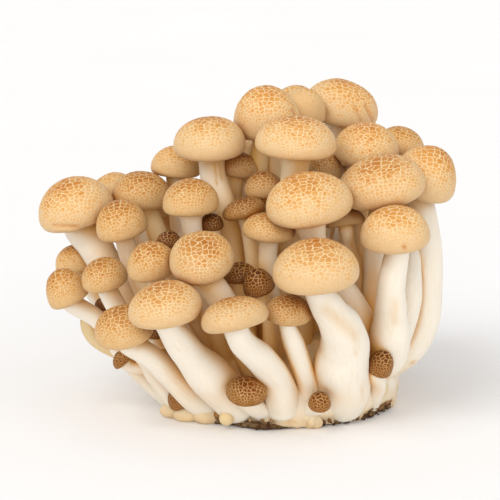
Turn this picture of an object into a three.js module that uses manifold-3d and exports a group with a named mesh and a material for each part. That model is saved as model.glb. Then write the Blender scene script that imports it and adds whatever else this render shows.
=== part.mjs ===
// A cluster of brown beech mushrooms, all grown from one butt and standing on its cut foot.
// Millimetres, +Z up, front towards -Y, origin on the ground under the middle of the cluster.
// The white butt and all the stems are one body. Each brown cap, with its gills, is a body of its own.
import * as THREE from "three";
import { mergeVertices } from "three/addons/utils/BufferGeometryUtils.js";
import Module from "manifold-3d";

const wasm = await Module();
wasm.setup();

// Places are read off a front view: a picture plane through AIM, facing an eye that looks down a little.
// "across" and "up" are millimetres on that plane, from the point where the base's middle is seen.
// "back" is the depth behind the base's middle, so what stands in front of it has a negative one.
const VIEW_TILT = THREE.MathUtils.degToRad(11);
const EYE_DISTANCE = 620;
const AIM = new THREE.Vector3(0, 0, 39.5);
const TO_EYE = new THREE.Vector3(0, -Math.cos(VIEW_TILT), Math.sin(VIEW_TILT));
const UP_ON_PLANE = new THREE.Vector3(0, Math.sin(VIEW_TILT), Math.cos(VIEW_TILT));
const EYE = AIM.clone().addScaledVector(TO_EYE, EYE_DISTANCE);
const BASE_SEEN_BELOW_AIM = 38.75;
const FRAME_SHIFT = new THREE.Vector3(0.8, -1.2, 0); // puts the origin under the middle of the cluster

// The butt filled the 58 mm mouth of a growing bottle, and a thin cake of the medium is left under it.
const AXIS = { x: 8, y: 0 }; // the mushrooms spread out from this upright line
const BUTT = { x: 9.8, y: 1.6, bottom: 1.8, top: 19, sides: 16 };
const BUTT_PROFILE = [[16.5, 16.5], [25.6, 10], [26.6, 5], [24.4, BUTT.bottom]]; // radius, height
const MEDIUM = { x: 6.4, y: -0.6, radius: 26.2, thickness: 1.5, sides: 28 };
const MEDIUM_RINGS = [[0.94, MEDIUM.thickness], [1, 0.75], [0.97, 0]]; // share of the radius, and height
const MEDIUM_BUMPS = [[1.1, 3, 1], [0.66, 7, 0], [0.44, 11, 2]]; // height, number round the edge, and start
const GAP = 0.3; // between bodies that touch

// A cap, in shares of its width.
const LIP = 0.1; // how far the rim hangs below the widest ring
const RIM_RADIUS = 0.45;
const GILL_RADIUS = 0.385;
const GILL_DEPTH = 0.022;
const GILL_DROP = 0.08; // of the gills' outer ends, below the widest ring
const HUB_OF_NECK = 1.15; // the gills end this many stem radii from the axis
const SEAT_HEIGHT = 0.03;
const DOME_RINGS = 3;
const CAP_SIDES = { young: 8, middling: 10, grown: 12 };
const OVAL = 0.028; // of the outline seen from above, which is never quite round
const THREE_CORNERED = 0.018;
const SMALL_CAP = 9; // caps narrower than this are young: closed below, and with fewer sides
const LARGE_CAP = 15;

// A stem. neck is in shares of its cap's width, and swell says how much thicker the stem is low down.
const NECK = 0.17;
const NECK_EXTRA = 0.15;
const SWELL = 1.65;
const STEM_SIDES = { seen: 8, other: 6 };
const STEM_RINGS = 6;
const FOOT_HEIGHT = 4.2;
const FOOT_SPREAD = 0.56; // a foot stands this share of the way from the butt's middle out to its cap
const FOOT_REACH = 24; // and no further out than this
const LOW_CAP = 22; // a small cap with its rim lower than this has a short stem of its own
const LOW_FOOT = { inside: 0.9, below: 0.7 }; // the place of that stem's foot, in shares of the cap's width
const STEM_RISE = 0.36; // a stem starts upright and ends square to its cap, for this share of its length
const STEM_LEAN = 0.25; // how far it has gone outwards by the end of its upright start
const SWELL_ENDS = { low: 0.18, high: 0.92 }; // along the stem
const SQUARE_END = 0.2; // the last part of a seen stem, square to its cap, in shares of the cap's width
const ROUND_END = 0.6; // how far a foot bulges past its last ring, in shares of its radius

// The mushrooms that the front view shows. across and up: the middle of the cap's outline; wide and high: the
// outline's size on the picture plane; side and front: the cap's lean in degrees, to the right and to the
// viewer.
const SEEN = [
  { id: 1, across: -43.4, up: 50.1, back: 4, wide: 19.4, high: 14.3, side: -16, front: 8, neck: 0.225 },
  { id: 2, across: -33.5, up: 53.4, back: 20, wide: 13, high: 9.5, side: -10, front: -5 },
  { id: 3, across: -27.2, up: 53.6, back: 4, wide: 14.8, high: 10, side: 2, front: 6 },
  { id: 4, across: -32.1, up: 46, back: -8, wide: 13.3, high: 10.6, side: -12, front: 12 },
  { id: 5, across: -18.3, up: 60.7, back: 12, wide: 12.5, high: 8.4, side: 4, front: 4 },
  { id: 6, across: -9.9, up: 66.4, back: 0, wide: 18.3, high: 11.8, side: -4, front: 8 },
  { id: 7, across: -14.9, up: 51.9, back: -14, wide: 14.3, high: 9.8, side: -2, front: 4 },
  { id: 8, across: -3.3, up: 60, back: 6, wide: 10.5, high: 7, side: 8, front: 2 },
  { id: 9, across: 4.4, up: 72.9, back: 4, wide: 17.4, high: 14.3, side: -8, front: 8 },
  { id: 10, across: 13.2, up: 74.6, back: 12, wide: 11.5, high: 9.3, side: 12, front: 6 },
  { id: 11, across: 22.7, up: 75.2, back: 16, wide: 18.8, high: 12.6, side: 8, front: 6 },
  { id: 12, across: 11.5, up: 75.4, back: 32, wide: 14, high: 9.4, side: 0, front: -8 },
  { id: 13, across: 11.6, up: 66.6, back: -10, wide: 19.8, high: 11.8, side: 3, front: 6 },
  { id: 14, across: 29.1, up: 64.8, back: -2, wide: 16.8, high: 12, side: 4, front: 10 },
  { id: 15, across: 37.3, up: 65.4, back: 16, wide: 12.5, high: 8.8, side: 14, front: -4 },
  { id: 16, across: 32.8, up: 55.6, back: -16, wide: 21.5, high: 14.8, side: -12, front: 16 },
  { id: 17, across: 43.6, up: 57.7, back: -3, wide: 16.6, high: 14.6, side: 14, front: 14, neck: 0.2 },
  { id: 18, across: 14.6, up: 51.3, back: -24, wide: 21.3, high: 14.5, side: -6, front: 12 },
  { id: 19, across: 3.4, up: 54.8, back: -8, wide: 9.8, high: 7.4, side: -12, front: 12 },
  { id: 20, across: -1.5, up: 49, back: -15, wide: 11, high: 6, side: -14, front: 2 },
  { id: 21, across: 4.8, up: 44.4, back: -20, wide: 13, high: 7.8, side: 4, front: 5 },
  { id: 22, across: 18.5, up: 59.4, back: 6, wide: 10, high: 7.4, side: 0, front: 5 },
  { id: 23, across: 23.7, up: 46.7, back: -12, wide: 10, high: 5, side: -8, front: -12 },
  { id: 24, across: 36.4, up: 43.8, back: -26, wide: 17.3, high: 12.5, side: -6, front: 12 },
  { id: 25, across: -12.1, up: 36.8, back: -33, wide: 16.8, high: 13.5, side: -6, front: 26, neck: 0.19 },
  { id: 26, across: -24.4, up: 35.8, back: -26, wide: 12.4, high: 10.5, side: -10, front: 18 },
  { id: 27, across: 16.5, up: 34.6, back: -39, wide: 22, high: 14.3, side: -6, front: 12, neck: 0.155 },
  { id: 28, across: -36.3, up: 32.5, back: -17, wide: 11.5, high: 9, side: -12, front: 12, neck: 0.21 },
  { id: 29, across: -43.6, up: 36.2, back: 6, wide: 10, high: 8, side: -20, front: 2 },
  { id: 30, across: -45.5, up: 29.1, back: -10, wide: 10.6, high: 10.3, side: -24, front: 10, neck: 0.21 },
  { id: 31, across: -21.1, up: 25.1, back: -40, wide: 18.3, high: 12.3, side: -8, front: 12 },
  { id: 32, across: -31.4, up: 19.5, back: -30, wide: 14.8, high: 11.5, side: -14, front: 14 },
  { id: 33, across: -4, up: 22.6, back: -43, wide: 17.4, high: 9.3, side: -12, front: -2 },
  { id: 34, across: -2.6, up: 33, back: -24, wide: 8.5, high: 5.6, side: -5, front: 8 },
  { id: 35, across: 2.3, up: 30.5, back: -27, wide: 8, high: 7.5, side: -20, front: 14 },
  { id: 36, across: 9.6, up: 23.8, back: -34, wide: 11.8, high: 8, side: 4, front: 8 },
  { id: 37, across: -0.9, up: 3.5, back: -33, wide: 10.2, high: 7.6, side: 2, front: 24, neck: 0.22 },
  { id: 38, across: 17.4, up: 0.8, back: -30, wide: 5.9, high: 5.2, side: 0, front: 30, neck: 0.24 },
  { id: 39, across: 32.2, up: 10.2, back: -24, wide: 6.6, high: 7, side: 24, front: 20, neck: 0.26 },
  { id: 40, across: -17.9, up: 1.4, back: -16, wide: 5, high: 5.5, side: -20, front: 20, neck: 0.26 },
  { id: 41, across: -32, up: 11.4, back: -15, wide: 5, high: 4.8, side: -40, front: 4, neck: 0.24 },
];

// Where the stems in full view run: points of the middle line from the foot up, as across, up and back, and
// the thickness there.
const SEEN_STEMS = {
  1: [[-15, 5, -6, 6.5], [-27.5, 21.2, -3, 7], [-34.5, 32.5, 0, 8], [-38.6, 39.5, 2, 8.8]],
  4: [[-12, 5, -10, 5.4], [-24, 24, -10, 5.2], [-29.6, 36, -8, 5.2]],
  6: [[-1.2, 8.8, -5, 7.6], [-4.5, 38.8, -5, 7.2], [-7, 50, -3, 7], [-9.2, 57, -1, 6.5]],
  14: [[25, 8, -4, 6], [28.4, 30, -3, 5.2], [27.6, 46, -1, 4.8]],
  15: [
    [32.5, 8.5, -6, 6.6],
    [36.8, 17.5, -9, 7.4],
    [39, 26.2, -10, 7.8],
    [40, 36, -6, 5.6],
    [39, 50, 9, 4.6],
  ],
  16: [[25, 6, -8, 6.6], [29.8, 18.8, -10, 6.8], [31.4, 31.2, -11, 6.2], [31.4, 41.2, -13, 5.8]],
  17: [
    [33.5, 9, -3, 7],
    [40.2, 14.6, -3, 8],
    [43.6, 21.5, -3, 7.9],
    [44.4, 30, -3, 7.3],
    [44.4, 40, -3, 7],
  ],
  18: [
    [26, 8, -11, 7],
    [28, 18.8, -15, 7.2],
    [25.5, 25.2, -17, 7],
    [20.6, 32.6, -19, 6.2],
    [16.6, 40, -21, 5.8],
  ],
  23: [[23, 8, -6, 4.6], [27.4, 28, -7, 4.2], [24.8, 39, -9, 3.5]],
  24: [
    [31, 7.6, -12, 7.4],
    [34.5, 12.8, -17, 9.7],
    [35, 17, -20, 10.2],
    [35.2, 23.2, -22, 8],
    [35.4, 30, -24, 6.8],
  ],
  25: [[3, 5, -18, 7.4], [-2.5, 17.5, -24, 7.2], [-7.2, 26.6, -29, 6.8]],
  27: [
    [23, 0.8, -17.5, 11.6],
    [23.4, 4.6, -21, 13.2],
    [22.9, 10.2, -26, 13.4],
    [23.7, 14.8, -29, 12.2],
    [22.9, 19.2, -33, 10.4],
    [20, 23.6, -36, 8.2],
  ],
  28: [[-15.6, -1.2, -12, 6.8], [-22.5, 6.6, -13, 5.8], [-28.8, 16.2, -16, 5.2], [-33, 23.8, -17, 5]],
  30: [[-17.4, 0.4, -8, 6.6], [-24, 5.2, -6, 5.4], [-31, 12, -8, 4.8], [-37.4, 20.8, -9, 4.6]],
  31: [[-2.8, 0.2, -21, 10.4], [-9.5, 6.8, -27, 10.8], [-15.8, 13.4, -34, 7.8]],
  32: [[-9.5, -1, -16.5, 7], [-14, 1.6, -19, 6.6], [-20.4, 8, -24, 6.2], [-25.2, 12.4, -28, 5.8]],
  33: [
    [8, -0.6, -23.5, 8.4],
    [7.9, 2, -25, 8.8],
    [6.2, 6.8, -29, 7.8],
    [2.6, 11.6, -35, 7.4],
    [-1.2, 14.8, -40, 6.6],
  ],
  36: [[14.4, -0.6, -21.5, 6.2], [14.5, 5, -24, 5.6], [13, 9.6, -27, 5.2], [11, 15.4, -31, 5.2]],
  37: [[3.4, -1.6, -23, 5], [1.4, -0.6, -27, 4.8]],
  39: [[30, 0.4, -12, 4.8], [32, 4.8, -18, 4]],
};

// The mushrooms of the hidden side. round: degrees from straight back towards the right; out and rise: how
// far from the axis and how high. They lean outwards and are domed by rule.
const HIDDEN = [
  { id: 42, round: -30, out: 27, rise: 58, wide: 18 },
  { id: 43, round: 38, out: 33, rise: 57, wide: 15 },
  { id: 44, round: -52, out: 38, rise: 45, wide: 16 },
  { id: 45, round: -19, out: 37, rise: 48, wide: 18 },
  { id: 46, round: 25, out: 38, rise: 48, wide: 17 },
  { id: 47, round: 45, out: 41, rise: 44, wide: 16.5 },
  { id: 48, round: 67, out: 34, rise: 38, wide: 13 },
  { id: 49, round: -58, out: 43, rise: 26, wide: 13 },
  { id: 50, round: -34, out: 44, rise: 31, wide: 15.5 },
  { id: 51, round: -2, out: 46, rise: 30, wide: 16.5 },
  { id: 52, round: 34, out: 45, rise: 28, wide: 15.5 },
  { id: 53, round: 58, out: 41, rise: 24, wide: 14 },
  { id: 54, round: -20, out: 36, rise: 14, wide: 9.6 },
  { id: 55, round: 14, out: 38, rise: 12, wide: 10.5 },
  { id: 56, round: 42, out: 34, rise: 12, wide: 8.4 },
];
const HIDDEN_TALL = 0.42; // height of such a cap above its widest ring, in shares of its width
const HIDDEN_LEAN = 0.56; // degrees of lean for each millimetre out
const SETTLE = { step: 0.4, farthest: 30, near: 0.75 }; // how a cap is moved clear of the others

// The smallest pins, still white knobs of the butt.
const PIN_NECK = 0.3;
const PIN_LEAN = 10; // degrees to the front
const PINS = [
  { across: -9.6, up: 45, back: -12, wide: 6 },
  { across: -20.3, up: 40.6, back: -16, wide: 6 },
  { across: -40.4, up: 21.4, back: -4, wide: 5 },
  { across: -6, up: -2.8, back: -26, wide: 4 },
];

const { degToRad, lerp, smoothstep } = THREE.MathUtils;
const turn = (share) => share * 2 * Math.PI;

// The point behind the picture plane's point (across, up) that lies "back" behind the base's middle.
function fromFront({ across, up, back }) {
  const onPlane = AIM.clone().setX(across).addScaledVector(UP_ON_PLANE, up - BASE_SEEN_BELOW_AIM);
  return EYE.clone().lerp(onPlane, (back - EYE.y) / (onPlane.y - EYE.y));
}

// A closed surface through rings of points, from top to bottom, each ring counter-clockwise from above.
// A ring of one point closes an end, and rings of unlike counts are stitched in step.
function skin(rings) {
  const faces = [];
  let first = 0;
  for (let r = 0; r + 1 < rings.length; r++) {
    const [above, below] = [rings[r].length, rings[r + 1].length];
    const second = first + above;
    const [lastAbove, lastBelow] = [above > 1 ? above : 0, below > 1 ? below : 0];
    let [i, j] = [0, 0];
    while (i < lastAbove || j < lastBelow) {
      const a = first + (i % above);
      const b = second + (j % below);
      const stepAbove = j >= lastBelow || (i < lastAbove && (i + 1) / lastAbove <= (j + 1) / lastBelow);
      if (stepAbove) faces.push(a, b, first + (++i % above));
      else faces.push(a, b, second + (++j % below));
    }
    first = second;
  }
  return new THREE.BufferGeometry().setFromPoints(rings.flat()).setIndex(faces);
}

function toSolid(geometry) {
  const bare = new THREE.BufferGeometry().setAttribute("position", geometry.getAttribute("position"));
  const merged = mergeVertices(bare.setIndex(geometry.index), 1e-4);
  return new wasm.Manifold(
    new wasm.Mesh({
      numProp: 3,
      vertProperties: new Float32Array(merged.attributes.position.array),
      triVerts: new Uint32Array(merged.index.array),
    }),
  );
}

function toGeometry(solid) {
  const mesh = solid.getMesh();
  return new THREE.BufferGeometry()
    .setAttribute("position", new THREE.BufferAttribute(new Float32Array(mesh.vertProperties), 3))
    .setIndex(new THREE.BufferAttribute(new Uint32Array(mesh.triVerts), 1));
}

// Three directions of a cap: w up its axis, u and v across it.
function capAxes(cap) {
  const w = new THREE.Vector3(Math.tan(degToRad(cap.side)), -Math.tan(degToRad(cap.front)), 1).normalize();
  const u = new THREE.Vector3(1, 0, 0).addScaledVector(w, -w.x).normalize();
  return { u, v: w.clone().cross(u), w };
}

// No cap is quite round: its radius swells and shrinks a little, in its own way.
function capWobble(id, angle) {
  return 1 + OVAL * Math.cos(2 * angle + 2.4 * id) + THREE_CORNERED * Math.cos(3 * angle + 1.7 * id);
}

function capSides(cap) {
  if (cap.wide < SMALL_CAP) return CAP_SIDES.young;
  return cap.wide < LARGE_CAP ? CAP_SIDES.middling : CAP_SIDES.grown;
}

// A domed cap with its rim turned in and its gills as radial ridges below. grow thickens it all over.
function capSkin(cap, grow = 0) {
  const { u, v, w } = capAxes(cap);
  const sides = capSides(cap);
  const wide = cap.wide + 2 * grow;
  const point = (radius, height, angle) =>
    cap.rim
      .clone()
      .addScaledVector(u, radius * capWobble(cap.id, angle) * Math.cos(angle))
      .addScaledVector(v, radius * capWobble(cap.id, angle) * Math.sin(angle))
      .addScaledVector(w, height);
  const ring = (count, radius, height) =>
    Array.from({ length: count }, (_, i) => point(radius, height(i), turn(i / count)));

  const rings = [[point(0, cap.tall + grow, 0)]];
  for (let k = 1; k <= DOME_RINGS; k++) {
    const slope = degToRad((90 * k) / DOME_RINGS);
    rings.push(ring(sides, (wide / 2) * Math.sin(slope), () => (cap.tall + grow) * Math.cos(slope)));
  }
  rings.push(ring(sides, RIM_RADIUS * wide, () => -LIP * cap.wide - grow));
  const young = cap.wide < SMALL_CAP;
  const gills = young ? sides : 2 * sides;
  const ridge = (i) => (young ? 0 : (i % 2 ? 1 : -1) * GILL_DEPTH * cap.wide);
  const hub = HUB_OF_NECK * (cap.neck ?? NECK) * wide;
  rings.push(ring(gills, GILL_RADIUS * wide, (i) => -GILL_DROP * cap.wide - grow + ridge(i)));
  rings.push(ring(gills, hub, (i) => -grow + ridge(i)));
  rings.push([point(0, SEAT_HEIGHT * cap.wide - grow, 0)]);
  return skin(rings);
}

// The middle line of a stem and its radius along it. Both run from the foot, 0, to just below the gills, 1.
function stemPath(cap) {
  const { w } = capAxes(cap);
  const top = cap.rim.clone().addScaledVector(w, -GILL_DEPTH * cap.wide - GAP);
  const neck = (cap.neck ?? NECK) * cap.wide + NECK_EXTRA;
  const seen = SEEN_STEMS[cap.id];
  if (!seen) {
    const foot = footOf(cap);
    const length = top.distanceTo(foot);
    const rise = top.clone().sub(foot).multiplyScalar(STEM_LEAN).setZ(STEM_RISE * length);
    const below = top.clone().addScaledVector(w, -STEM_RISE * length);
    const swell = (share) => lerp(SWELL, 1, smoothstep(share, SWELL_ENDS.low, SWELL_ENDS.high));
    return {
      curve: new THREE.CubicBezierCurve3(foot, rise.add(foot), below, top),
      radius: (share) => neck * swell(share),
      rings: STEM_RINGS,
      sides: STEM_SIDES.other,
    };
  }
  const points = seen.map(([across, up, back]) => fromFront({ across, up, back }));
  const square = top.clone().addScaledVector(w, -SQUARE_END * cap.wide);
  const radii = [...seen.map((station) => station[3] / 2), neck, neck];
  const last = radii.length - 1;
  return {
    curve: new THREE.CatmullRomCurve3([...points, square, top], false, "catmullrom"),
    radius: (share) => {
      const from = Math.min(Math.floor(share * last), last - 1);
      return lerp(radii[from], radii[from + 1], smoothstep(share * last - from, 0, 1));
    },
    rings: radii.length,
    sides: STEM_SIDES.seen,
  };
}

function stemSkin(cap) {
  const { curve, radius, rings, sides } = stemPath(cap);
  const ringAt = (share) => {
    const centre = curve.getPoint(share);
    const along = curve.getTangent(share);
    const u = new THREE.Vector3(1, 0, 0).addScaledVector(along, -along.x).normalize();
    const v = along.clone().cross(u);
    return Array.from({ length: sides }, (_, i) =>
      centre
        .clone()
        .addScaledVector(u, radius(share) * Math.cos(turn(i / sides)))
        .addScaledVector(v, radius(share) * Math.sin(turn(i / sides))),
    );
  };
  const shares = Array.from({ length: rings }, (_, i) => 1 - i / (rings - 1));
  const roundedEnd = curve.getPoint(0).addScaledVector(curve.getTangent(0), -ROUND_END * radius(0));
  return skin([[curve.getPoint(1)], ...shares.map(ringAt), [roundedEnd]]);
}

// Where the stem of a cap stands. A low cap stands on a short stem of its own, close in below it.
function footOf(cap) {
  const outward = new THREE.Vector2(cap.rim.x - AXIS.x, cap.rim.y - AXIS.y);
  const low = cap.wide < LARGE_CAP && cap.rim.z < LOW_CAP;
  if (low) outward.setLength(Math.min(outward.length() - LOW_FOOT.inside * cap.wide, FOOT_REACH));
  else outward.multiplyScalar(FOOT_SPREAD).clampLength(0, FOOT_REACH);
  const height = low ? Math.max(FOOT_HEIGHT, cap.rim.z - LOW_FOOT.below * cap.wide) : FOOT_HEIGHT;
  return new THREE.Vector3(AXIS.x + outward.x, AXIS.y + outward.y, height);
}

// The true size of a cap, and the place of its rim, from its outline. The outline of a leaning dome runs from
// the low side of its rim to the top of the round it is half of.
function fitToOutline(cap) {
  const middle = fromFront(cap);
  const { w } = capAxes(cap);
  const nearness = middle.distanceTo(EYE) / EYE_DISTANCE;
  const lean = Math.cos(degToRad(cap.side));
  cap.wide *= (2 * nearness) / (1 + lean);
  const half = cap.wide / 2;
  const upright = w.dot(UP_ON_PLANE);
  const rimDrop = half * Math.sqrt(1 - upright ** 2);
  const below = Math.max(rimDrop, 2 * RIM_RADIUS * rimDrop + LIP * cap.wide * upright);
  const above = Math.max(cap.high * nearness - below, rimDrop + 0.1 * cap.wide);
  cap.tall = Math.sqrt(above ** 2 - rimDrop ** 2) / upright;
  cap.rim = middle.addScaledVector(UP_ON_PLANE, (below - above) / 2);
  cap.rim.x -= (Math.sign(cap.side) * half * (1 - lean)) / 2;
}

// Moves a cap along "way", a little at a time, until it is clear of those placed before it.
function settle(cap, placed, way) {
  for (let moved = 0; moved < SETTLE.farthest; moved += SETTLE.step) {
    const grown = toSolid(capSkin(cap, GAP));
    const isNear = (other) => other.rim.distanceTo(cap.rim) < SETTLE.near * (other.wide + cap.wide);
    if (placed.filter(isNear).every((other) => grown.intersect(other.solid).isEmpty())) break;
    cap.rim.addScaledVector(way, SETTLE.step);
  }
  cap.solid = toSolid(capSkin(cap));
  placed.push(cap);
}

function placeSeen(placed) {
  for (const cap of [...SEEN].sort((a, b) => a.back - b.back)) {
    fitToOutline(cap);
    settle(cap, placed, cap.rim.clone().sub(EYE).normalize());
  }
}

function placeHidden(placed) {
  for (const cap of HIDDEN) {
    const way = new THREE.Vector3(Math.sin(degToRad(cap.round)), Math.cos(degToRad(cap.round)), 0);
    cap.tall = HIDDEN_TALL * cap.wide;
    cap.side = HIDDEN_LEAN * cap.out * way.x;
    cap.front = -HIDDEN_LEAN * cap.out * way.y;
    cap.rim = new THREE.Vector3(AXIS.x, AXIS.y, cap.rise).addScaledVector(way, cap.out);
    settle(cap, placed, way);
  }
}

// A level ring of points round an upright axis at x, y. The radius may vary with the angle.
function levelRing({ x, y, sides }, height, radius) {
  return Array.from({ length: sides }, (_, i) => {
    const angle = turn(i / sides);
    const out = radius(angle);
    return new THREE.Vector3(x + out * Math.cos(angle), y + out * Math.sin(angle), height);
  });
}

// The fused white mass at the bottom, with a flat cut underside.
function buttSkin() {
  return skin([
    [new THREE.Vector3(BUTT.x, BUTT.y, BUTT.top)],
    ...BUTT_PROFILE.map(([radius, height]) => levelRing(BUTT, height, () => radius)),
    [new THREE.Vector3(BUTT.x, BUTT.y, BUTT.bottom)],
  ]);
}

// A pin: a short thick stem from the butt that ends in a white knob.
function pinSkin(pin) {
  return stemSkin({ wide: pin.wide, neck: PIN_NECK, side: 0, front: PIN_LEAN, rim: fromFront(pin) });
}

// What is left of the growing medium under the butt: a thin crumbly cake with an uneven edge.
function mediumSkin() {
  const bumps = (angle) =>
    MEDIUM_BUMPS.reduce((sum, [size, count, start]) => sum + size * Math.sin(count * angle + start), 0);
  const edge = (share) => (angle) => share * MEDIUM.radius + bumps(angle);
  return skin([
    [new THREE.Vector3(MEDIUM.x, MEDIUM.y, MEDIUM.thickness)],
    ...MEDIUM_RINGS.map(([share, height]) => levelRing(MEDIUM, height, edge(share))),
    [new THREE.Vector3(MEDIUM.x, MEDIUM.y, 0)],
  ]);
}

const WHITE = new THREE.MeshStandardMaterial({ color: "#f0e7d6", roughness: 0.6, metalness: 0 });
const CRUMBS = new THREE.MeshStandardMaterial({ color: "#9c8767", roughness: 0.95, metalness: 0 });
const CAP_COLOURS = { young: "#9c6a2e", middling: "#cf9c5a", grown: "#e3b878" };

function capMaterial(cap) {
  const age = cap.wide < SMALL_CAP ? "young" : cap.wide < LARGE_CAP ? "middling" : "grown";
  return new THREE.MeshStandardMaterial({ color: CAP_COLOURS[age], roughness: 0.5, metalness: 0 });
}

function named(name, geometry, material) {
  const mesh = new THREE.Mesh(geometry, material);
  mesh.name = name;
  return mesh;
}

const caps = [];
placeSeen(caps);
placeHidden(caps);

let stems = toSolid(buttSkin());
for (const cap of caps) stems = stems.add(toSolid(stemSkin(cap)));
for (const pin of PINS) stems = stems.add(toSolid(pinSkin(pin)));
stems = stems.trimByPlane([0, 0, 1], BUTT.bottom);
for (const cap of caps) stems = stems.subtract(toSolid(capSkin(cap, GAP)));
const [fused] = stems.decompose().sort((a, b) => b.volume() - a.volume());

const cluster = new THREE.Group();
cluster.add(named("stems_and_butt", toGeometry(fused), WHITE));
cluster.add(named("growing_medium", mediumSkin(), CRUMBS));
for (const cap of caps) {
  cluster.add(named(`cap_${String(cap.id).padStart(2, "0")}`, capSkin(cap), capMaterial(cap)));
}
cluster.position.copy(FRAME_SHIFT);

export default cluster;
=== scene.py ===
"""The looks of a cluster of beech mushrooms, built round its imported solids.

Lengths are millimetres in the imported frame: +Z up, the front towards -Y. A piece turns to metres once, when
its mesh is done. "across" and "up" are millimetres on the picture plane, as in the part's own source: a plane
through AIM that faces an eye looking down a little, measured from where the middle of the base is seen.
"""

import logging
import math
import random
from collections.abc import Sequence
from dataclasses import dataclass, field
from enum import Enum

import bmesh
import bpy
from bmesh.types import BMesh, BMLayerItem, BMVert
from bpy.types import Material, Node, NodeSocket, NodeTree, Object
from mathutils import Matrix, Vector, noise

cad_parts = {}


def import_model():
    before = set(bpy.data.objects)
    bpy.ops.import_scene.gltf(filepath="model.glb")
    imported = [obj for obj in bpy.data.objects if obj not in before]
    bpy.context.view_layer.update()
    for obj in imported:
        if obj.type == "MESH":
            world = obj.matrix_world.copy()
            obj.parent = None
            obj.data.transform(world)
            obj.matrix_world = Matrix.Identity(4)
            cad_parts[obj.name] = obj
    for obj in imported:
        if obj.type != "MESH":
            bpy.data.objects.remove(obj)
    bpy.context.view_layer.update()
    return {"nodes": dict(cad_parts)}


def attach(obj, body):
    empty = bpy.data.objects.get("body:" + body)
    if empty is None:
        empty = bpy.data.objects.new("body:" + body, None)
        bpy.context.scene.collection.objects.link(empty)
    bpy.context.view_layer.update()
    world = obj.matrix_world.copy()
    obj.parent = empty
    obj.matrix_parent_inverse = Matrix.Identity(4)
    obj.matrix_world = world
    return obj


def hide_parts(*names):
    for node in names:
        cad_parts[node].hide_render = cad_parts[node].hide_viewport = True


log = logging.getLogger("beech_mushroom_cluster")

MM = 0.001
AIM = Vector((0.8, -1.2, 39.5))
VIEW_TILT = math.radians(11)
EYE_DISTANCE = 620.0
TO_EYE = Vector((0, -math.cos(VIEW_TILT), math.sin(VIEW_TILT)))
UP_ON_PLANE = Vector((0, math.sin(VIEW_TILT), math.cos(VIEW_TILT)))
EYE = AIM + EYE_DISTANCE * TO_EYE
BASE_SEEN_BELOW_AIM = 38.75
PICTURE_WIDTH = 125.0  # 500 pixels, four to a millimetre
AXIS = Vector((8.8, -1.2, 0))  # the mushrooms spread out from this upright line


def smoothstep(value: float, low: float, high: float) -> float:
    """A smooth climb from 0 at low to 1 at high.

    Args:
        value: Where to read it.
        low: Where it leaves 0.
        high: Where it reaches 1.

    Returns:
        A number from 0 to 1.
    """
    share = min(1.0, max(0.0, (value - low) / (high - low)))
    return share * share * (3 - 2 * share)


def mix(a: float, b: float, share: float) -> float:
    """The number that lies this share of the way from a to b."""
    return a + (b - a) * share


def from_front(across: float, up: float, back: float) -> Vector:
    """Finds the point that the front view shows at a place and that lies at a depth.

    Args:
        across: Place on the picture plane, to the right.
        up: Place on the picture plane, upwards.
        back: Depth behind the middle of the base.

    Returns:
        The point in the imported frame.
    """
    on_plane = AIM + Vector((across, 0, 0)) + UP_ON_PLANE * (up - BASE_SEEN_BELOW_AIM)
    return EYE.lerp(on_plane, (back + AIM.y - EYE.y) / (on_plane.y - EYE.y))


def seen_at(point: Vector) -> tuple[float, float]:
    """Finds where the front view shows a point.

    Args:
        point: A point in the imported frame.

    Returns:
        across and up on the picture plane.
    """
    ray = point - EYE
    on_plane = EYE - ray * (EYE_DISTANCE / ray.dot(TO_EYE)) - AIM
    return on_plane.x, on_plane.dot(UP_ON_PLANE) + BASE_SEEN_BELOW_AIM


def linear(colour: str) -> tuple[float, float, float, float]:
    """Turns an sRGB hex colour to the linear one that shaders take.

    Args:
        colour: Six hex digits.

    Returns:
        Linear red, green, blue and an alpha of 1.
    """
    shares = (int(colour[i : i + 2], 16) / 255 for i in (0, 2, 4))
    return (*(c / 12.92 if c <= 0.04045 else ((c + 0.055) / 1.055) ** 2.4 for c in shares), 1.0)


def add_node(tree: NodeTree, kind: str, inputs: dict | None = None, **settings: object) -> Node:
    """Adds a shader node with its settings and links.

    Args:
        tree: The material's or the world's nodes.
        kind: The node's type, without its ShaderNode prefix.
        inputs: For a socket's name or number, a socket to link or a value to set.
        **settings: Attributes of the node.

    Returns:
        The new node.
    """
    node = tree.nodes.new("ShaderNode" + kind)
    for name, value in settings.items():
        setattr(node, name, value)
    for socket, value in (inputs or {}).items():
        if isinstance(value, NodeSocket):
            tree.links.new(value, node.inputs[socket])
        else:
            node.inputs[socket].default_value = value
    return node


def new_material(name: str) -> tuple[Material, NodeTree]:
    """Makes an empty node material.

    Args:
        name: What the real material is.

    Returns:
        The material and its node tree, with nothing in it.
    """
    material = bpy.data.materials.new(name)
    material.use_nodes = True
    material.node_tree.nodes.clear()
    return material, material.node_tree


# Every finish, built once, under its own name.
MATERIALS: dict[str, Material] = {}

# How open a place is, from 0 to 1, where the warm shade starts and where it is full.
SHADE_STARTS, SHADE_FULL = 0.66, 0.16
# The floor is white and lights the foot, so it stops counting as a neighbour between these heights.
FLOOR_COUNTS_BELOW, FLOOR_GONE_ABOVE = 3.0, 16.0
# Linear: what the pigment of the brownest cap lets through.
BROWNING = (0.38, 0.22, 0.04, 1.0)


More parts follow.
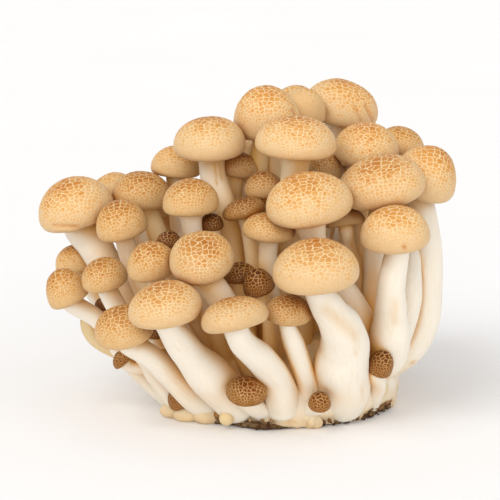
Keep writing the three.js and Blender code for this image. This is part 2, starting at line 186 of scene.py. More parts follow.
def warm_shade(tree: NodeTree, colour: NodeSocket, shaded: str, reach_mm: float, most: float) -> NodeSocket:
    """Warms a colour where neighbours stand close, as light does that has passed between them.

    Args:
        tree: The material's nodes.
        colour: The socket of the colour.
        shaded: Hex colour in the deepest gaps.
        reach_mm: How near a neighbour counts.
        most: Share of the shaded colour there.

    Returns:
        The socket of the warmed colour.
    """
    openness = add_node(tree, "AmbientOcclusion", {"Distance": reach_mm * MM}, samples=8)
    share = add_node(
        tree, "MapRange",
        {"Value": openness.outputs["AO"], 1: SHADE_STARTS, 2: SHADE_FULL, 3: 0.0, 4: most},
        interpolation_type="SMOOTHSTEP",
    )
    place = add_node(tree, "TexCoord").outputs["Object"]
    height = add_node(tree, "SeparateXYZ", {0: place}).outputs["Z"]
    raised = add_node(
        tree, "MapRange",
        {"Value": height, 1: FLOOR_COUNTS_BELOW * MM, 2: FLOOR_GONE_ABOVE * MM, 3: 0.0, 4: 1.0},
        interpolation_type="SMOOTHSTEP",
    )
    share = add_node(tree, "Math", {0: share.outputs[0], 1: raised.outputs[0]}, operation="MULTIPLY")
    return add_node(
        tree, "Mix", {0: share.outputs[0], 6: colour, 7: linear(shaded)}, data_type="RGBA"
    ).outputs[2]


@dataclass(frozen=True)
class CapSkin:
    """Mushroom cap skin: a satin pellicle whose pigment has cracked into a net as the cap grew.

    The crown shows brown islands parted by thin pale lines. Further out the islands shrink and pale, then
    only specks are left, and the rim is plain. Colours are sRGB hex values.
    """

    name: str
    crown: str
    island: str
    speck: str
    crack: str
    rim: str
    shaded: str
    net_ends: float = 1.1  # reach, 0 at the top and 1 at the widest ring
    fading: float = 1.0
    hairline: float = 0.015  # half of a crack on the crown, in shares of an island
    widest_crack: float = 0.12  # half of one near the rim
    island_mm: float = 2.2  # on the crown of a cap 20 mm wide
    speck_mm: float = 0.42

    def build(self) -> Material:
        """Builds the material.

        Returns:
            The material, which reads the cap's "cap" UV map and its "reach", "brown" and "stain" attributes.
        """
        material, tree = new_material(self.name)
        uv = add_node(tree, "UVMap", uv_map="cap").outputs["UV"]
        reach = add_node(tree, "Attribute", attribute_name="reach").outputs["Fac"]
        extent = self.spread(tree, uv, reach)
        bent = self.bend(tree, uv)

        # The pigment is deepest on the crown and thins out to the plain rim.
        cracks, chance = self.cracks(tree, bent, extent)
        depth = add_node(tree, "Math", {0: chance, 1: -0.5, 2: 1.1}, operation="MULTIPLY_ADD")
        depth = add_node(tree, "Math", {0: extent, 1: -1.5, 2: depth.outputs[0]}, operation="MULTIPLY_ADD")
        tone = add_node(
            tree, "Mix", {0: depth.outputs[0], 6: linear(self.island), 7: linear(self.crown)},
            data_type="RGBA", clamp_factor=True,
        ).outputs[2]
        own = add_node(tree, "Math", {0: chance, 1: 0.35, 2: extent}, operation="MULTIPLY_ADD").outputs[0]
        outward = add_node(
            tree, "MapRange", {"Value": own, 1: 0.5, 2: self.net_ends + 0.1}, interpolation_type="SMOOTHSTEP"
        ).outputs[0]
        tone = add_node(tree, "Mix", {0: outward, 6: tone, 7: linear(self.rim)}, data_type="RGBA").outputs[2]
        coloured = add_node(
            tree, "Mix", {0: cracks, 6: tone, 7: linear(self.crack)}, data_type="RGBA"
        ).outputs[2]
        coloured = add_node(
            tree, "Mix", {0: self.specks(tree, bent, extent), 6: coloured, 7: linear(self.speck)},
            data_type="RGBA",
        ).outputs[2]

        # Some caps are browner all over, and a mark stains its own place.
        brown = add_node(tree, "Attribute", attribute_name="brown").outputs["Fac"]
        held = add_node(tree, "Math", {0: cracks, 1: -0.7, 2: 1.0}, operation="MULTIPLY_ADD").outputs[0]
        held = add_node(tree, "Math", {0: brown, 1: held}, operation="MULTIPLY").outputs[0]
        coloured = add_node(
            tree, "Mix", {0: held, 6: coloured, 7: BROWNING}, data_type="RGBA", blend_type="MULTIPLY"
        ).outputs[2]
        stain = add_node(tree, "Attribute", attribute_name="stain").outputs["Fac"]
        coloured = add_node(
            tree, "Mix", {0: stain, 6: coloured, 7: linear(self.crown)}, data_type="RGBA", clamp_factor=True
        ).outputs[2]
        coloured = warm_shade(tree, coloured, self.shaded, 8.0, 0.75)

        # Islands stand a few hundredths of a millimetre over the cracks, and the skin is finely uneven.
        pores = add_node(tree, "TexNoise", {"Vector": uv, "Scale": 2.2, "Detail": 3.0}, noise_dimensions="2D")
        height = add_node(
            tree, "Math", {0: cracks, 1: -0.6, 2: pores.outputs["Fac"]}, operation="MULTIPLY_ADD"
        )
        bump = add_node(
            tree, "Bump", {"Height": height.outputs[0], "Strength": 0.35, "Distance": 0.06 * MM}
        )
        shader = add_node(
            tree,
            "BsdfPrincipled",
            {
                "Base Color": coloured,
                "Roughness": 0.47,
                "IOR": 1.4,
                "Specular IOR Level": 0.32,
                "Subsurface Weight": 0.12,
                "Subsurface Radius": (1.0, 0.52, 0.28),
                "Subsurface Scale": 1.1 * MM,
                "Normal": bump.outputs["Normal"],
            },
        )
        add_node(tree, "OutputMaterial", {"Surface": shader.outputs[0]})
        return material

    @staticmethod
    def bend(tree: NodeTree, uv: NodeSocket) -> NodeSocket:
        """Bends the coordinates slightly, so that no line of the net is quite straight.

        Args:
            tree: The material's nodes.
            uv: The socket of the cap's coordinates, in millimetres.

        Returns:
            The socket of the bent ones.
        """
        drift = add_node(tree, "TexNoise", {"Vector": uv, "Scale": 0.5, "Detail": 2.0}, noise_dimensions="2D")
        centred = add_node(
            tree, "VectorMath", {0: drift.outputs["Color"], 1: (0.5, 0.5, 0.5)}, operation="SUBTRACT"
        )
        return add_node(
            tree, "VectorMath", {0: centred.outputs[0], 1: (1.4, 1.4, 0.0), 2: uv}, operation="MULTIPLY_ADD"
        ).outputs[0]

    @staticmethod
    def spread(tree: NodeTree, uv: NodeSocket, reach: NodeSocket) -> NodeSocket:
        """Says how far out a place counts as being: its reach, moved by patches some 6 mm across.

        Args:
            tree: The material's nodes.
            uv: The socket of the cap's coordinates.
            reach: The socket of its reach.

        Returns:
            The socket of the moved reach.
        """
        patch = add_node(
            tree, "TexNoise", {"Vector": uv, "Scale": 0.17, "Detail": 2.0}, noise_dimensions="2D"
        )
        moved = add_node(tree, "Math", {0: patch.outputs["Fac"], 1: 0.6, 2: -0.3}, operation="MULTIPLY_ADD")
        return add_node(tree, "Math", {0: reach, 1: moved.outputs[0]}, operation="ADD").outputs[0]

    def cracks(
        self, tree: NodeTree, place: NodeSocket, extent: NodeSocket
    ) -> tuple[NodeSocket, NodeSocket]:
        """Draws the pale cracks between the islands: hairlines on the crown, wider and fainter outwards.

        Args:
            tree: The material's nodes.
            place: The socket of the coordinates.
            extent: The socket of how far out they are.

        Returns:
            The sockets of the cracks' mask and of a random number for each island.
        """
        scaled = {"Vector": place, "Scale": 1 / self.island_mm, "Randomness": 0.8}
        cell = add_node(tree, "TexVoronoi", scaled, voronoi_dimensions="2D", feature="F1")
        chance = add_node(tree, "SeparateColor", {0: cell.outputs["Color"]}).outputs[0]
        edge = add_node(tree, "TexVoronoi", scaled, voronoi_dimensions="2D", feature="DISTANCE_TO_EDGE")
        inner = add_node(
            tree, "MapRange",
            {"Value": extent, 1: 0.35, 2: self.net_ends, 3: self.hairline, 4: self.widest_crack},
            interpolation_type="SMOOTHSTEP",
        ).outputs[0]
        outer = add_node(tree, "Math", {0: inner, 1: 1.9, 2: 0.085}, operation="MULTIPLY_ADD").outputs[0]
        line = add_node(
            tree, "MapRange", {"Value": edge.outputs["Distance"], 1: inner, 2: outer, 3: 1.0, 4: 0.0},
            interpolation_type="SMOOTHSTEP",
        ).outputs[0]
        left = add_node(
            tree, "MapRange", {"Value": extent, 1: 0.5, 2: self.net_ends, 3: 0.9, 4: 0.9 * (1 - self.fading)}
        ).outputs[0]
        return add_node(tree, "Math", {0: line, 1: left}, operation="MULTIPLY").outputs[0], chance

    def specks(self, tree: NodeTree, place: NodeSocket, extent: NodeSocket) -> NodeSocket:
        """Scatters specks outside the net, each there or not by its own chance, thinning out to the rim.

        Args:
            tree: The material's nodes.
            place: The socket of the coordinates.
            extent: The socket of how far out they are.

        Returns:
            The socket of the specks' mask.
        """
        dot = add_node(
            tree, "TexVoronoi", {"Vector": place, "Scale": 1 / self.speck_mm, "Randomness": 1.0},
            voronoi_dimensions="2D", feature="F1",
        )
        spot = add_node(
            tree, "MapRange", {"Value": dot.outputs["Distance"], 1: 0.45, 2: 0.15},
            interpolation_type="SMOOTHSTEP",
        )
        luck = add_node(tree, "SeparateColor", {0: dot.outputs["Color"]})
        need = add_node(
            tree, "MapRange", {"Value": extent, 1: 0.6, 2: self.net_ends + 0.15, 3: 0.3, 4: 1.0}
        )
        present = add_node(tree, "Math", {0: luck.outputs[0], 1: need.outputs[0]}, operation="GREATER_THAN")
        begun = add_node(tree, "MapRange", {"Value": extent, 1: 0.45, 2: 0.7, 3: 0.0, 4: 0.35})
        shown = add_node(tree, "Math", {0: spot.outputs[0], 1: present.outputs[0]}, operation="MULTIPLY")
        return add_node(
            tree, "Math", {0: shown.outputs[0], 1: begun.outputs[0]}, operation="MULTIPLY"
        ).outputs[0]


@dataclass(frozen=True)
class WhiteFlesh:
    """Mushroom stem flesh: white, satin and fibrous lengthwise, creamier where it is old or shaded."""

    name: str
    flesh: str
    fibre: str
    bruise: str
    # The tan that "inner" mixes in: painted shade deep in the cluster and on the top of the butt, the own tan
    # of bare pins and knobs.
    inside: str
    shaded: str
    fibre_mm: float = 0.28
    bruise_mm: float = 5.0

    def build(self) -> Material:
        """Builds the material.

        Returns:
            The material, which reads the piece's "grain", "stain" and "inner" attributes.
        """
        material, tree = new_material(self.name)
        grain = add_node(tree, "Attribute", attribute_name="grain").outputs["Vector"]
        stain = add_node(tree, "Attribute", attribute_name="stain").outputs["Fac"]
        inner = add_node(tree, "Attribute", attribute_name="inner").outputs["Fac"]

        # Fibres are thin across the stem and some sixteen times as long along it.
        across = 1 / self.fibre_mm
        drawn = add_node(
            tree, "VectorMath", {0: grain, 1: (across, across, across / 16)}, operation="MULTIPLY"
        ).outputs[0]
        fibres = add_node(tree, "TexNoise", {"Vector": drawn, "Scale": 1.0, "Detail": 3.0, "Roughness": 0.55})
        streak = add_node(
            tree, "MapRange", {"Value": fibres.outputs["Fac"], 1: 0.36, 2: 0.68, 3: 0.0, 4: 0.5}
        ).outputs[0]
        coloured = add_node(
            tree, "Mix", {0: streak, 6: linear(self.flesh), 7: linear(self.fibre)}, data_type="RGBA"
        ).outputs[2]
        # Painted shade: flesh deep in the cluster is mixed towards the tan inside colour by "inner"; bare
        # pins and knobs take it as their own tan.
        coloured = add_node(
            tree, "Mix", {0: inner, 6: coloured, 7: linear(self.inside)}, data_type="RGBA"
        ).outputs[2]

        # Bruises are faint and longer than they are wide.
        spread = add_node(
            tree, "VectorMath",
            {0: grain, 1: (1 / self.bruise_mm, 1 / self.bruise_mm, 0.4 / self.bruise_mm)},
            operation="MULTIPLY",
        ).outputs[0]
        blotch = add_node(tree, "TexNoise", {"Vector": spread, "Scale": 1.0, "Detail": 4.0, "Roughness": 0.6})
        faint = add_node(
            tree, "MapRange", {"Value": blotch.outputs["Fac"], 1: 0.58, 2: 0.8, 3: 0.0, 4: 0.45},
            interpolation_type="SMOOTHSTEP",
        ).outputs[0]
        marked = add_node(tree, "Math", {0: faint, 1: stain}, operation="ADD", use_clamp=True).outputs[0]
        coloured = add_node(
            tree, "Mix", {0: marked, 6: coloured, 7: linear(self.bruise)}, data_type="RGBA"
        ).outputs[2]
        coloured = warm_shade(tree, coloured, self.shaded, 18.0, 0.95)
        bump = add_node(
            tree, "Bump", {"Height": fibres.outputs["Fac"], "Strength": 0.3, "Distance": 0.05 * MM}
        )
        shader = add_node(
            tree,
            "BsdfPrincipled",
            {
                "Base Color": coloured,
                "Roughness": 0.56,
                "IOR": 1.4,
                "Specular IOR Level": 0.35,
                "Subsurface Weight": 0.15,
                "Subsurface Radius": (1.0, 0.85, 0.62),
                "Subsurface Scale": 1.8 * MM,
                "Normal": bump.outputs["Normal"],
            },
        )
        add_node(tree, "OutputMaterial", {"Surface": shader.outputs[0]})
        return material


@dataclass(frozen=True)
class Gills:
    """Gill flesh: thin cream plates, matt, with painted shade darkening the hollow between each two."""

    name: str
    plate: str
    # The colour of the painted shade in the hollows between plates.
    painted_gap_shade: str

    def build(self) -> Material:
        """Builds the material.

        Returns:
            The material, which reads the cap's "gap" attribute, 1 in the hollows between plates, where shade
            is painted.
        """
        material, tree = new_material(self.name)
        # Painted shade: the hollows between the plates are mixed towards the darker colour.
        painted_gap_shade = add_node(tree, "Attribute", attribute_name="painted_gap_shade").outputs["Fac"]
        place = add_node(tree, "TexCoord").outputs["Object"]
        cloud = add_node(tree, "TexNoise", {"Vector": place, "Scale": 400.0, "Detail": 2.0})
        share = add_node(
            tree, "Math", {0: cloud.outputs["Fac"], 1: 0.4, 2: painted_gap_shade}, operation="MULTIPLY_ADD", use_clamp=True
        )
        coloured = add_node(
            tree, "Mix", {0: share.outputs[0], 6: linear(self.plate), 7: linear(self.painted_gap_shade)}, data_type="RGBA"
        )
        shader = add_node(
            tree,
            "BsdfPrincipled",
            {"Base Color": coloured.outputs[2], "Roughness": 0.7, "Specular IOR Level": 0.25},
        )
        add_node(tree, "OutputMaterial", {"Surface": shader.outputs[0]})
        return material


@dataclass(frozen=True)
class Substrate:
    """Growing medium: moist ground wood and bran, crumbs of uneven brown with white threads through them."""

    name: str
    dark: str
    light: str
    thread: str
    # The colour of the painted contact shadow along the floor.
    contact_shadow: str

    def build(self) -> Material:
        """Builds the material.

        Returns:
            The material, which reads the piece's "tone" and "bound" attributes and object coordinates.
        """
        material, tree = new_material(self.name)
        tone = add_node(tree, "Attribute", attribute_name="tone").outputs["Fac"]
        place = add_node(tree, "TexCoord").outputs["Object"]
        grit = add_node(tree, "TexNoise", {"Vector": place, "Scale": 900.0, "Detail": 4.0, "Roughness": 0.7})
        share = add_node(
            tree, "Math", {0: grit.outputs["Fac"], 1: 0.9, 2: -0.45}, operation="MULTIPLY_ADD"
        )
        share = add_node(tree, "Math", {0: share.outputs[0], 1: tone}, operation="ADD", use_clamp=True)
        coloured = add_node(
            tree, "Mix", {0: share.outputs[0], 6: linear(self.dark), 7: linear(self.light)}, data_type="RGBA"
        ).outputs[2]
        web = add_node(tree, "TexNoise", {"Vector": place, "Scale": 420.0, "Detail": 5.0, "Roughness": 0.65})
        bound = add_node(tree, "Attribute", attribute_name="bound").outputs["Fac"]
        held = add_node(tree, "Math", {0: bound, 1: 0.3, 2: web.outputs["Fac"]}, operation="MULTIPLY_ADD")
        threads = add_node(
            tree, "MapRange", {"Value": held.outputs[0], 1: 0.5, 2: 0.85, 3: 0.0, 4: 0.9},
            interpolation_type="SMOOTHSTEP",
        )
        coloured = add_node(
            tree, "Mix", {0: threads.outputs[0], 6: coloured, 7: linear(self.thread)}, data_type="RGBA"
        ).outputs[2]
        # Painted contact shadow: what lies on the floor is darkened nearly to black.
        height = add_node(tree, "SeparateXYZ", {0: place}).outputs["Z"]
        shadow_share = add_node(
            tree, "MapRange", {"Value": height, 1: 0.4 * MM, 2: 3 * MM, 3: 0.8, 4: 0.0}
        ).outputs[0]
        coloured = add_node(
            tree, "Mix", {0: shadow_share, 6: coloured, 7: linear(self.contact_shadow)}, data_type="RGBA"
        ).outputs[2]
        bump = add_node(tree, "Bump", {"Height": grit.outputs["Fac"], "Strength": 0.8, "Distance": 0.3 * MM})
        shader = add_node(
            tree,
            "BsdfPrincipled",
            {
                "Base Color": coloured,
                "Roughness": 0.9,
                "Specular IOR Level": 0.2,
                "Normal": bump.outputs["Normal"],
            },
        )
        add_node(tree, "OutputMaterial", {"Surface": shader.outputs[0]})
        return material


@dataclass(frozen=True)
class PaperFloor:
    """Matt white paper on a light table, which lifts the shadows, with the faint cloudiness of its fibre."""

    name: str = "matt white paper"
    sheet: str = "F4F4F6"
    cloud: str = "F0F0F2"
    glow: float = 0.06

    def build(self) -> Material:
        """Builds the material.

        Returns:
            The material, which reads object coordinates.
        """
        material, tree = new_material(self.name)
        place = add_node(tree, "TexCoord").outputs["Object"]
        cloud = add_node(tree, "TexNoise", {"Vector": place, "Scale": 9.0, "Detail": 3.0})
        coloured = add_node(
            tree, "Mix", {0: cloud.outputs["Fac"], 6: linear(self.sheet), 7: linear(self.cloud)},
            data_type="RGBA",
        )
        shader = add_node(
            tree,
            "BsdfPrincipled",
            {
                "Base Color": coloured.outputs[2],
                "Roughness": 0.85,
                "Specular IOR Level": 0.1,
                "Emission Color": linear("FFFDFA"),
                "Emission Strength": self.glow,
            },
        )
        add_node(tree, "OutputMaterial", {"Surface": shader.outputs[0]})
        return material


# Young caps still hold all their pigment in a small skin, so they are darkest, with a fine net all over.
YOUNG_SKIN = CapSkin(
    "young beech mushroom cap skin, satin",
    crown="5A2A04", island="7C450C", speck="522B04", crack="C99C60", rim="8E5B1D", shaded="582A04",
    net_ends=2.4, fading=0.5, hairline=0.03, widest_crack=0.06, island_mm=2.5,
)
MIDDLING_SKIN = CapSkin(
    "half-grown beech mushroom cap skin, satin",
    crown="AF6A1C", island="CE9345", speck="AD7430", crack="E6CD9E", rim="D6B17E", shaded="9C5C1C",
    net_ends=1.2,
)
# A grown cap has stretched its pigment thin: orange-tan islands on cream.
GROWN_SKIN = CapSkin(
    "grown beech mushroom cap skin, satin",
    crown="BC7423", island="D8A056", speck="B67E3A", crack="EAD4A9", rim="D8B688", shaded="A06225",
)
FLESH = WhiteFlesh(
    "white beech mushroom stem flesh, satin",
    flesh="EEE7DA", fibre="E7DBC5", bruise="D5AE74", inside="DEC69A", shaded="E3AE56",
)
GILLS = Gills("cream beech mushroom gills, matt", plate="E6CFA4", painted_gap_shade="B08A55")
SUBSTRATE = Substrate(
    "crumbly bran and sawdust growing medium", dark="52321A", light="AC7B45", thread="E0C193", contact_shadow="2E190B"
)


class Age(Enum):
    """How grown a cap is: the record's slot for it, the steps round it, and its skin."""

    YOUNG = ("cap_young", 80, YOUNG_SKIN)
    MIDDLING = ("cap_middling", 112, MIDDLING_SKIN)
    GROWN = ("cap_grown", 144, GROWN_SKIN)

    def __init__(self, slot: str, steps: int, skin: CapSkin) -> None:
        """Keeps what belongs to the age.

        Args:
            slot: The record's slot for its caps.
            steps: Faces round one of them.
            skin: Their finish.
        """
        self.slot = slot
        self.steps = steps
        self.skin = skin

    @classmethod
    def of_width(cls, wide: float) -> "Age":
        """The age of a cap this many millimetres wide."""
        if wide < 9:
            return cls.YOUNG
        return cls.MIDDLING if wide < 15 else cls.GROWN


@dataclass(frozen=True)
class Mark:
    """A crease, dimple or stain on one piece, where the front view shows it: a line from start to end."""

    piece: str
    start: tuple[float, float]
    end: tuple[float, float]
    width: float
    depth: float = 0.0
    stain: float = 0.0

    def weight(self, point: Vector) -> float:
        """Says how strongly the mark is felt at a point.

        Args:
            point: A point of the piece.

        Returns:
            1 on the mark's line, falling off over its width.
        """
        place = Vector(seen_at(point))
        a, b = Vector(self.start), Vector(self.end)
        span = b - a
        share = min(1.0, max(0.0, (place - a).dot(span) / max(span.length_squared, 1e-9)))
        return math.exp(-(((place - a - span * share).length / self.width) ** 2))


def picture(column: float, row: float) -> tuple[float, float]:
    """The place on the picture plane of a pixel of the 500 by 500 front view."""
    return (column - 250) / 4, (405 - row) / 4


MARKS = (
    Mark("cap_01", picture(53, 225.5), picture(77, 226.5), 0.34, depth=0.35, stain=0.6),
    Mark("cap_01", picture(56, 229.5), picture(76, 230.5), 0.6, depth=-0.3),
    Mark("cap_09", picture(293, 110), picture(295.5, 116), 0.35, depth=0.3, stain=0.7),
    Mark("cap_11", picture(355, 106), picture(361, 122), 0.4, depth=0.35, stain=0.4),
    Mark("cap_11", picture(366, 105), picture(373, 121), 0.45, depth=0.45, stain=0.5),
    Mark("cap_11", picture(314, 90), picture(334, 85), 3.5, depth=-0.6),
    Mark("cap_24", picture(404, 247), picture(404.5, 247.5), 0.5, depth=0.25, stain=0.9),
    Mark("stem_06", picture(214, 160), picture(217, 184), 0.3, depth=0.2, stain=0.9),
    Mark("stem_06", picture(219, 159), picture(222, 180), 0.28, depth=0.15, stain=0.8),
    Mark("stem_17", picture(413, 361), picture(413, 362), 0.4, stain=1.0),
    Mark("stem_24", picture(394, 302), picture(395, 322), 1.2, stain=0.35),
    Mark("stem_27", picture(326, 310), picture(354, 334), 1.6, stain=0.45),
)


def spun(profile: Sequence[tuple[float, float]], steps: int) -> tuple[BMesh, BMLayerItem]:
    """Spins a profile into a closed shape about the upright line through the origin.

    Args:
        profile: Radius and height of its points, from one pole to the other.
        steps: Faces round the shape.

    Returns:
        The shape, and the layer that holds each vertex's place in the profile.
    """
    shape = bmesh.new()
    station = shape.verts.layers.float.new("station")
    points = [shape.verts.new((radius, 0, height)) for radius, height in profile]
    for number, point in enumerate(points):
        point[station] = number
    edges = [shape.edges.new(pair) for pair in zip(points, points[1:])]
    bmesh.ops.spin(
        shape, geom=points + edges, cent=(0, 0, 0), axis=(0, 0, 1), angle=2 * math.pi, steps=steps,
        use_merge=True,
    )
    bmesh.ops.remove_doubles(shape, verts=shape.verts, dist=1e-6)
    bmesh.ops.recalc_face_normals(shape, faces=shape.faces)
    return shape, station


def finish_piece(
    shape: BMesh,
    name: str,
    materials: Sequence[Material],
    slot: str,
    replaces: Sequence[str] = (),
) -> Object:
    """Makes a finished mesh a piece of the cluster.

    Args:
        shape: The mesh in millimetres, in its place. It is used up.
        name: The piece's name.
        materials: Its materials, in the order of its faces' material numbers.
        slot: The record's material slot. Not used.
        replaces: The CAD nodes that it stands for.

    Returns:
        The piece's object.
    """
    bmesh.ops.transform(shape, matrix=Matrix.Scale(MM, 4), verts=shape.verts)
    for face in shape.faces:
        face.smooth = True
    mesh = bpy.data.meshes.new(name)
    shape.to_mesh(mesh)
    shape.free()
    for material in materials:
        mesh.materials.append(material)
    piece = bpy.data.objects.new(name, mesh)
    bpy.context.scene.collection.objects.link(piece)
    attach(piece, "root")
    if replaces:
        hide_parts(*replaces)
    log.info("%s: %d faces", name, len(mesh.polygons))
    return piece


def press_marks(shape: BMesh, name: str) -> None:
    """Presses a piece's marks into the side of it that the front view shows, and notes its stains.

    Args:
        shape: The piece's mesh in millimetres, in its place, with a "stain" layer.
        name: The piece's name.
    """
    marks = [mark for mark in MARKS if mark.piece == name]
    if not marks:
        return
    stain = shape.verts.layers.float["stain"]
    shape.normal_update()
    for vert in shape.verts:
        facing = smoothstep(vert.normal.dot(TO_EYE), 0, 0.3)
        weights = [mark.weight(vert.co) * (facing if mark.depth >= 0 else 1) for mark in marks]
        vert[stain] = sum(mark.stain * weight for mark, weight in zip(marks, weights))
        vert.co -= vert.normal * sum(mark.depth * weight for mark, weight in zip(marks, weights))


# How much browner than its skin a cap is, from 0 to 1.
BROWNER = {
    1: 0.05, 3: 0.35, 4: 0.25, 6: 0.1, 7: 0.3, 8: 0.5, 15: 0.25, 16: 0.15, 19: 0.6, 20: 0.95, 21: 0.35,
    22: 0.45, 23: 0.6, 25: 0.3, 26: 0.25, 27: 0.12, 28: 0.35, 30: 0.25, 31: 0.22, 32: 0.3, 33: 0.35, 34: 0.4,
    35: 0.5, 36: 0.65, 37: 1.0, 38: 0.1, 39: 0.15, 40: 0.1,
}
# Small caps on pins: their own dark young skin, and painted shade, since they sit deep among the stems.
ADDED_BROWN_AND_SHADE = 0.8
# Caps whose net has nearly gone, and how much further out they count.
PLAIN = {2: 0.35, 10: 0.5, 12: 0.3}


@dataclass
class Cap:
    """A mushroom cap, with the place, lean and size of its solid in the frame."""

    number: int
    rim: Vector  # middle of the widest ring
    up: Vector
    wide: float
    tall: float
    neck: float  # radius of the stem's top
    added: bool = False  # it has no solid of its own
    dome_rings: int = 22
    lip_rings: int = 6
    curl_rings: int = 4
    gill_rings: int = 8
    # The rest are shares of the width.
    lip: float = 0.07  # how far the rim turns in on the way down
    lip_drop: float = 0.105
    curl: float = 0.03  # and on the way up again to the gills
    curl_drop: float = 0.02
    gill_roof: float = 0.01
    gill_depth: float = 0.008
    unevenness: float = 0.011

    @classmethod
    def of_node(cls, number: int, node: Object) -> "Cap":
        """Reads a cap's form off a merged copy of its node's mesh.

        Args:
            number: The cap's number.
            node: Its CAD node.

        Returns:
            The cap.
        """
        shell = bmesh.new()
        shell.from_mesh(node.data)
        bmesh.ops.transform(shell, matrix=Matrix.Scale(1 / MM, 4), verts=shell.verts)
        bmesh.ops.remove_doubles(shell, verts=shell.verts, dist=0.01)
        ends = sorted(shell.verts, key=lambda vert: len(vert.link_edges))[-2:]
        line = (ends[1].co - ends[0].co).normalized()

        def from_line(vert: BMVert) -> float:
            """How far a vertex is from the line through both ends."""
            return (vert.co - ends[0].co).cross(line).length

        sides = min(len(end.link_edges) for end in ends)
        widest = sorted(shell.verts, key=from_line)[-sides:]
        middle = sum((vert.co for vert in widest), Vector()) / sides
        pole, top = sorted(ends, key=lambda end: (end.co - middle).length)
        up = (top.co - pole.co).normalized()
        rim = pole.co + up * up.dot(middle - pole.co)
        hub = [from_line(edge.other_vert(pole)) for edge in pole.link_edges]
        cap = cls(
            number=number,
            rim=rim,
            up=up,
            wide=2 * sum(map(from_line, widest)) / sides,
            tall=up.dot(top.co - rim),
            neck=sum(hub) / len(hub) / 1.15,
        )
        shell.free()
        return cap

    @property
    def age(self) -> Age:
        """How grown it is."""
        return Age.of_width(self.wide)

    @property
    def name(self) -> str:
        """The name of its node and piece."""
        return f"small_cap_{self.number}" if self.added else f"cap_{self.number:02d}"

    @property
    def axes(self) -> tuple[Vector, Vector]:
        """Two directions across its axis."""
        u = (Vector((1, 0, 0)) - self.up * self.up.x).normalized()
        return u, self.up.cross(u)

    def wobble(self, angle: float) -> float:
        """How its radius swells and shrinks round it, as its solid's does."""
        return (
            1
            + 0.028 * math.cos(2 * angle + 2.4 * self.number)
            + 0.018 * math.cos(3 * angle + 1.7 * self.number)
        )

    def profile(self) -> list[tuple[float, float]]:
        """Draws half of its cut, from the top over the rim and in along the gills to the axis.

        Returns:
            Radius and height over the widest ring of each point.
        """
        wide = self.wide
        dome = [
            (wide / 2 * math.sin(turn), self.tall * math.cos(turn))
            for turn in (math.pi / 2 * i / self.dome_rings for i in range(self.dome_rings + 1))
        ]
        edge = 0.5 - self.lip
        lip = [
            (wide * (edge + self.lip * math.cos(turn)), -self.lip_drop * wide * math.sin(turn))
            for turn in (math.pi / 2 * i / self.lip_rings for i in range(1, self.lip_rings + 1))
        ]
        low = self.lip_drop - self.curl_drop
        curl = [
            (wide * (edge + self.curl * math.cos(turn)), -wide * (low + self.curl_drop * math.sin(turn)))
            for turn in (math.pi / 2 * (1 + i / self.curl_rings) for i in range(1, self.curl_rings + 1))
        ]
        start, hub = wide * (edge - self.curl), 1.1 * self.neck
        gills = [
            (mix(start, hub, share), -wide * mix(low, self.gill_roof, math.sin(math.pi / 2 * share)))
            for share in (i / self.gill_rings for i in range(1, self.gill_rings + 1))
        ]
        return [(0.0, self.tall), *dome[1:], *lip, *curl, *gills, (0.0, 0.0)]

    def build(self) -> Object:
        """Builds and dresses the cap.

        Returns:
            Its piece.
        """
        profile = self.profile()
        lengths = [0.0]
        for (r0, z0), (r1, z1) in zip(profile, profile[1:]):
            lengths.append(lengths[-1] + math.hypot(r1 - r0, z1 - z0))
        shape, station = spun(profile, self.age.steps)
        for name in ("reach", "painted_gap_shade", "brown", "stain"):
            shape.verts.layers.float.new(name)
        angles = {vert: math.atan2(vert.co.y, vert.co.x) for vert in shape.verts}
        self.note_pigment(shape, station, angles, lengths)
        self.lay_coordinates(shape, station, angles, lengths)
        self.set_in_place(shape, station, angles, profile)
        press_marks(shape, self.name)
        skins = [MATERIALS[self.age.skin.name], MATERIALS[GILLS.name]]
        return finish_piece(shape, self.name, skins, self.age.slot, [] if self.added else [self.name])

    def note_pigment(
        self, shape: BMesh, station: BMLayerItem, angles: dict[BMVert, float], lengths: Sequence[float]
    ) -> None:
        """Notes how far out each point is, and how brown the skin is there.

        Args:
            shape: The cap's mesh.
            station: The layer of places in the profile.
            angles: Each point's angle round the axis.
            lengths: How far from the top each place in the profile is, along it.
        """
        reach = shape.verts.layers.float["reach"]
        brown = shape.verts.layers.float["brown"]
        pigment, plain = BROWNER.get(self.number, 0.0), PLAIN.get(self.number, 0.0)
        # A small cap on a pin is browner: young skin and painted shade.
        if self.added:
            pigment, plain = ADDED_BROWN_AND_SHADE, 0.0
        chance = random.Random(self.number)
        lean_to, lean = chance.uniform(0, 2 * math.pi), chance.uniform(0.02, 0.12)
        slope = lengths[self.dome_rings]
        for vert in shape.verts:
            out = lengths[round(vert[station])] / slope
            vert[reach] = out + lean * math.cos(angles[vert] - lean_to) + plain
            vert[brown] = pigment * mix(1, pigment, smoothstep(out, 0.2, 0.9))

    def lay_coordinates(
        self, shape: BMesh, station: BMLayerItem, angles: dict[BMVert, float], lengths: Sequence[float]
    ) -> None:
        """Lays the "cap" coordinates over it in millimetres, spread outwards so that the net gets finer.

        Args:
            shape: The cap's mesh.
            station: The layer of places in the profile.
            angles: Each point's angle round the axis.
            lengths: How far from the top each place in the profile is, along it.
        """
        uv = shape.loops.layers.uv.new("cap")
        scale = (20 / self.wide) ** 0.4
        slope = lengths[self.dome_rings]
        offset = Vector((self.number * 41.3, self.number * 17.9))
        for face in shape.faces:
            for loop in face.loops:
                length = lengths[round(loop.vert[station])]
                spread = length * (1 + length / slope) * scale
                angle = angles[loop.vert]
                loop[uv].uv = offset + spread * Vector((math.cos(angle), math.sin(angle)))

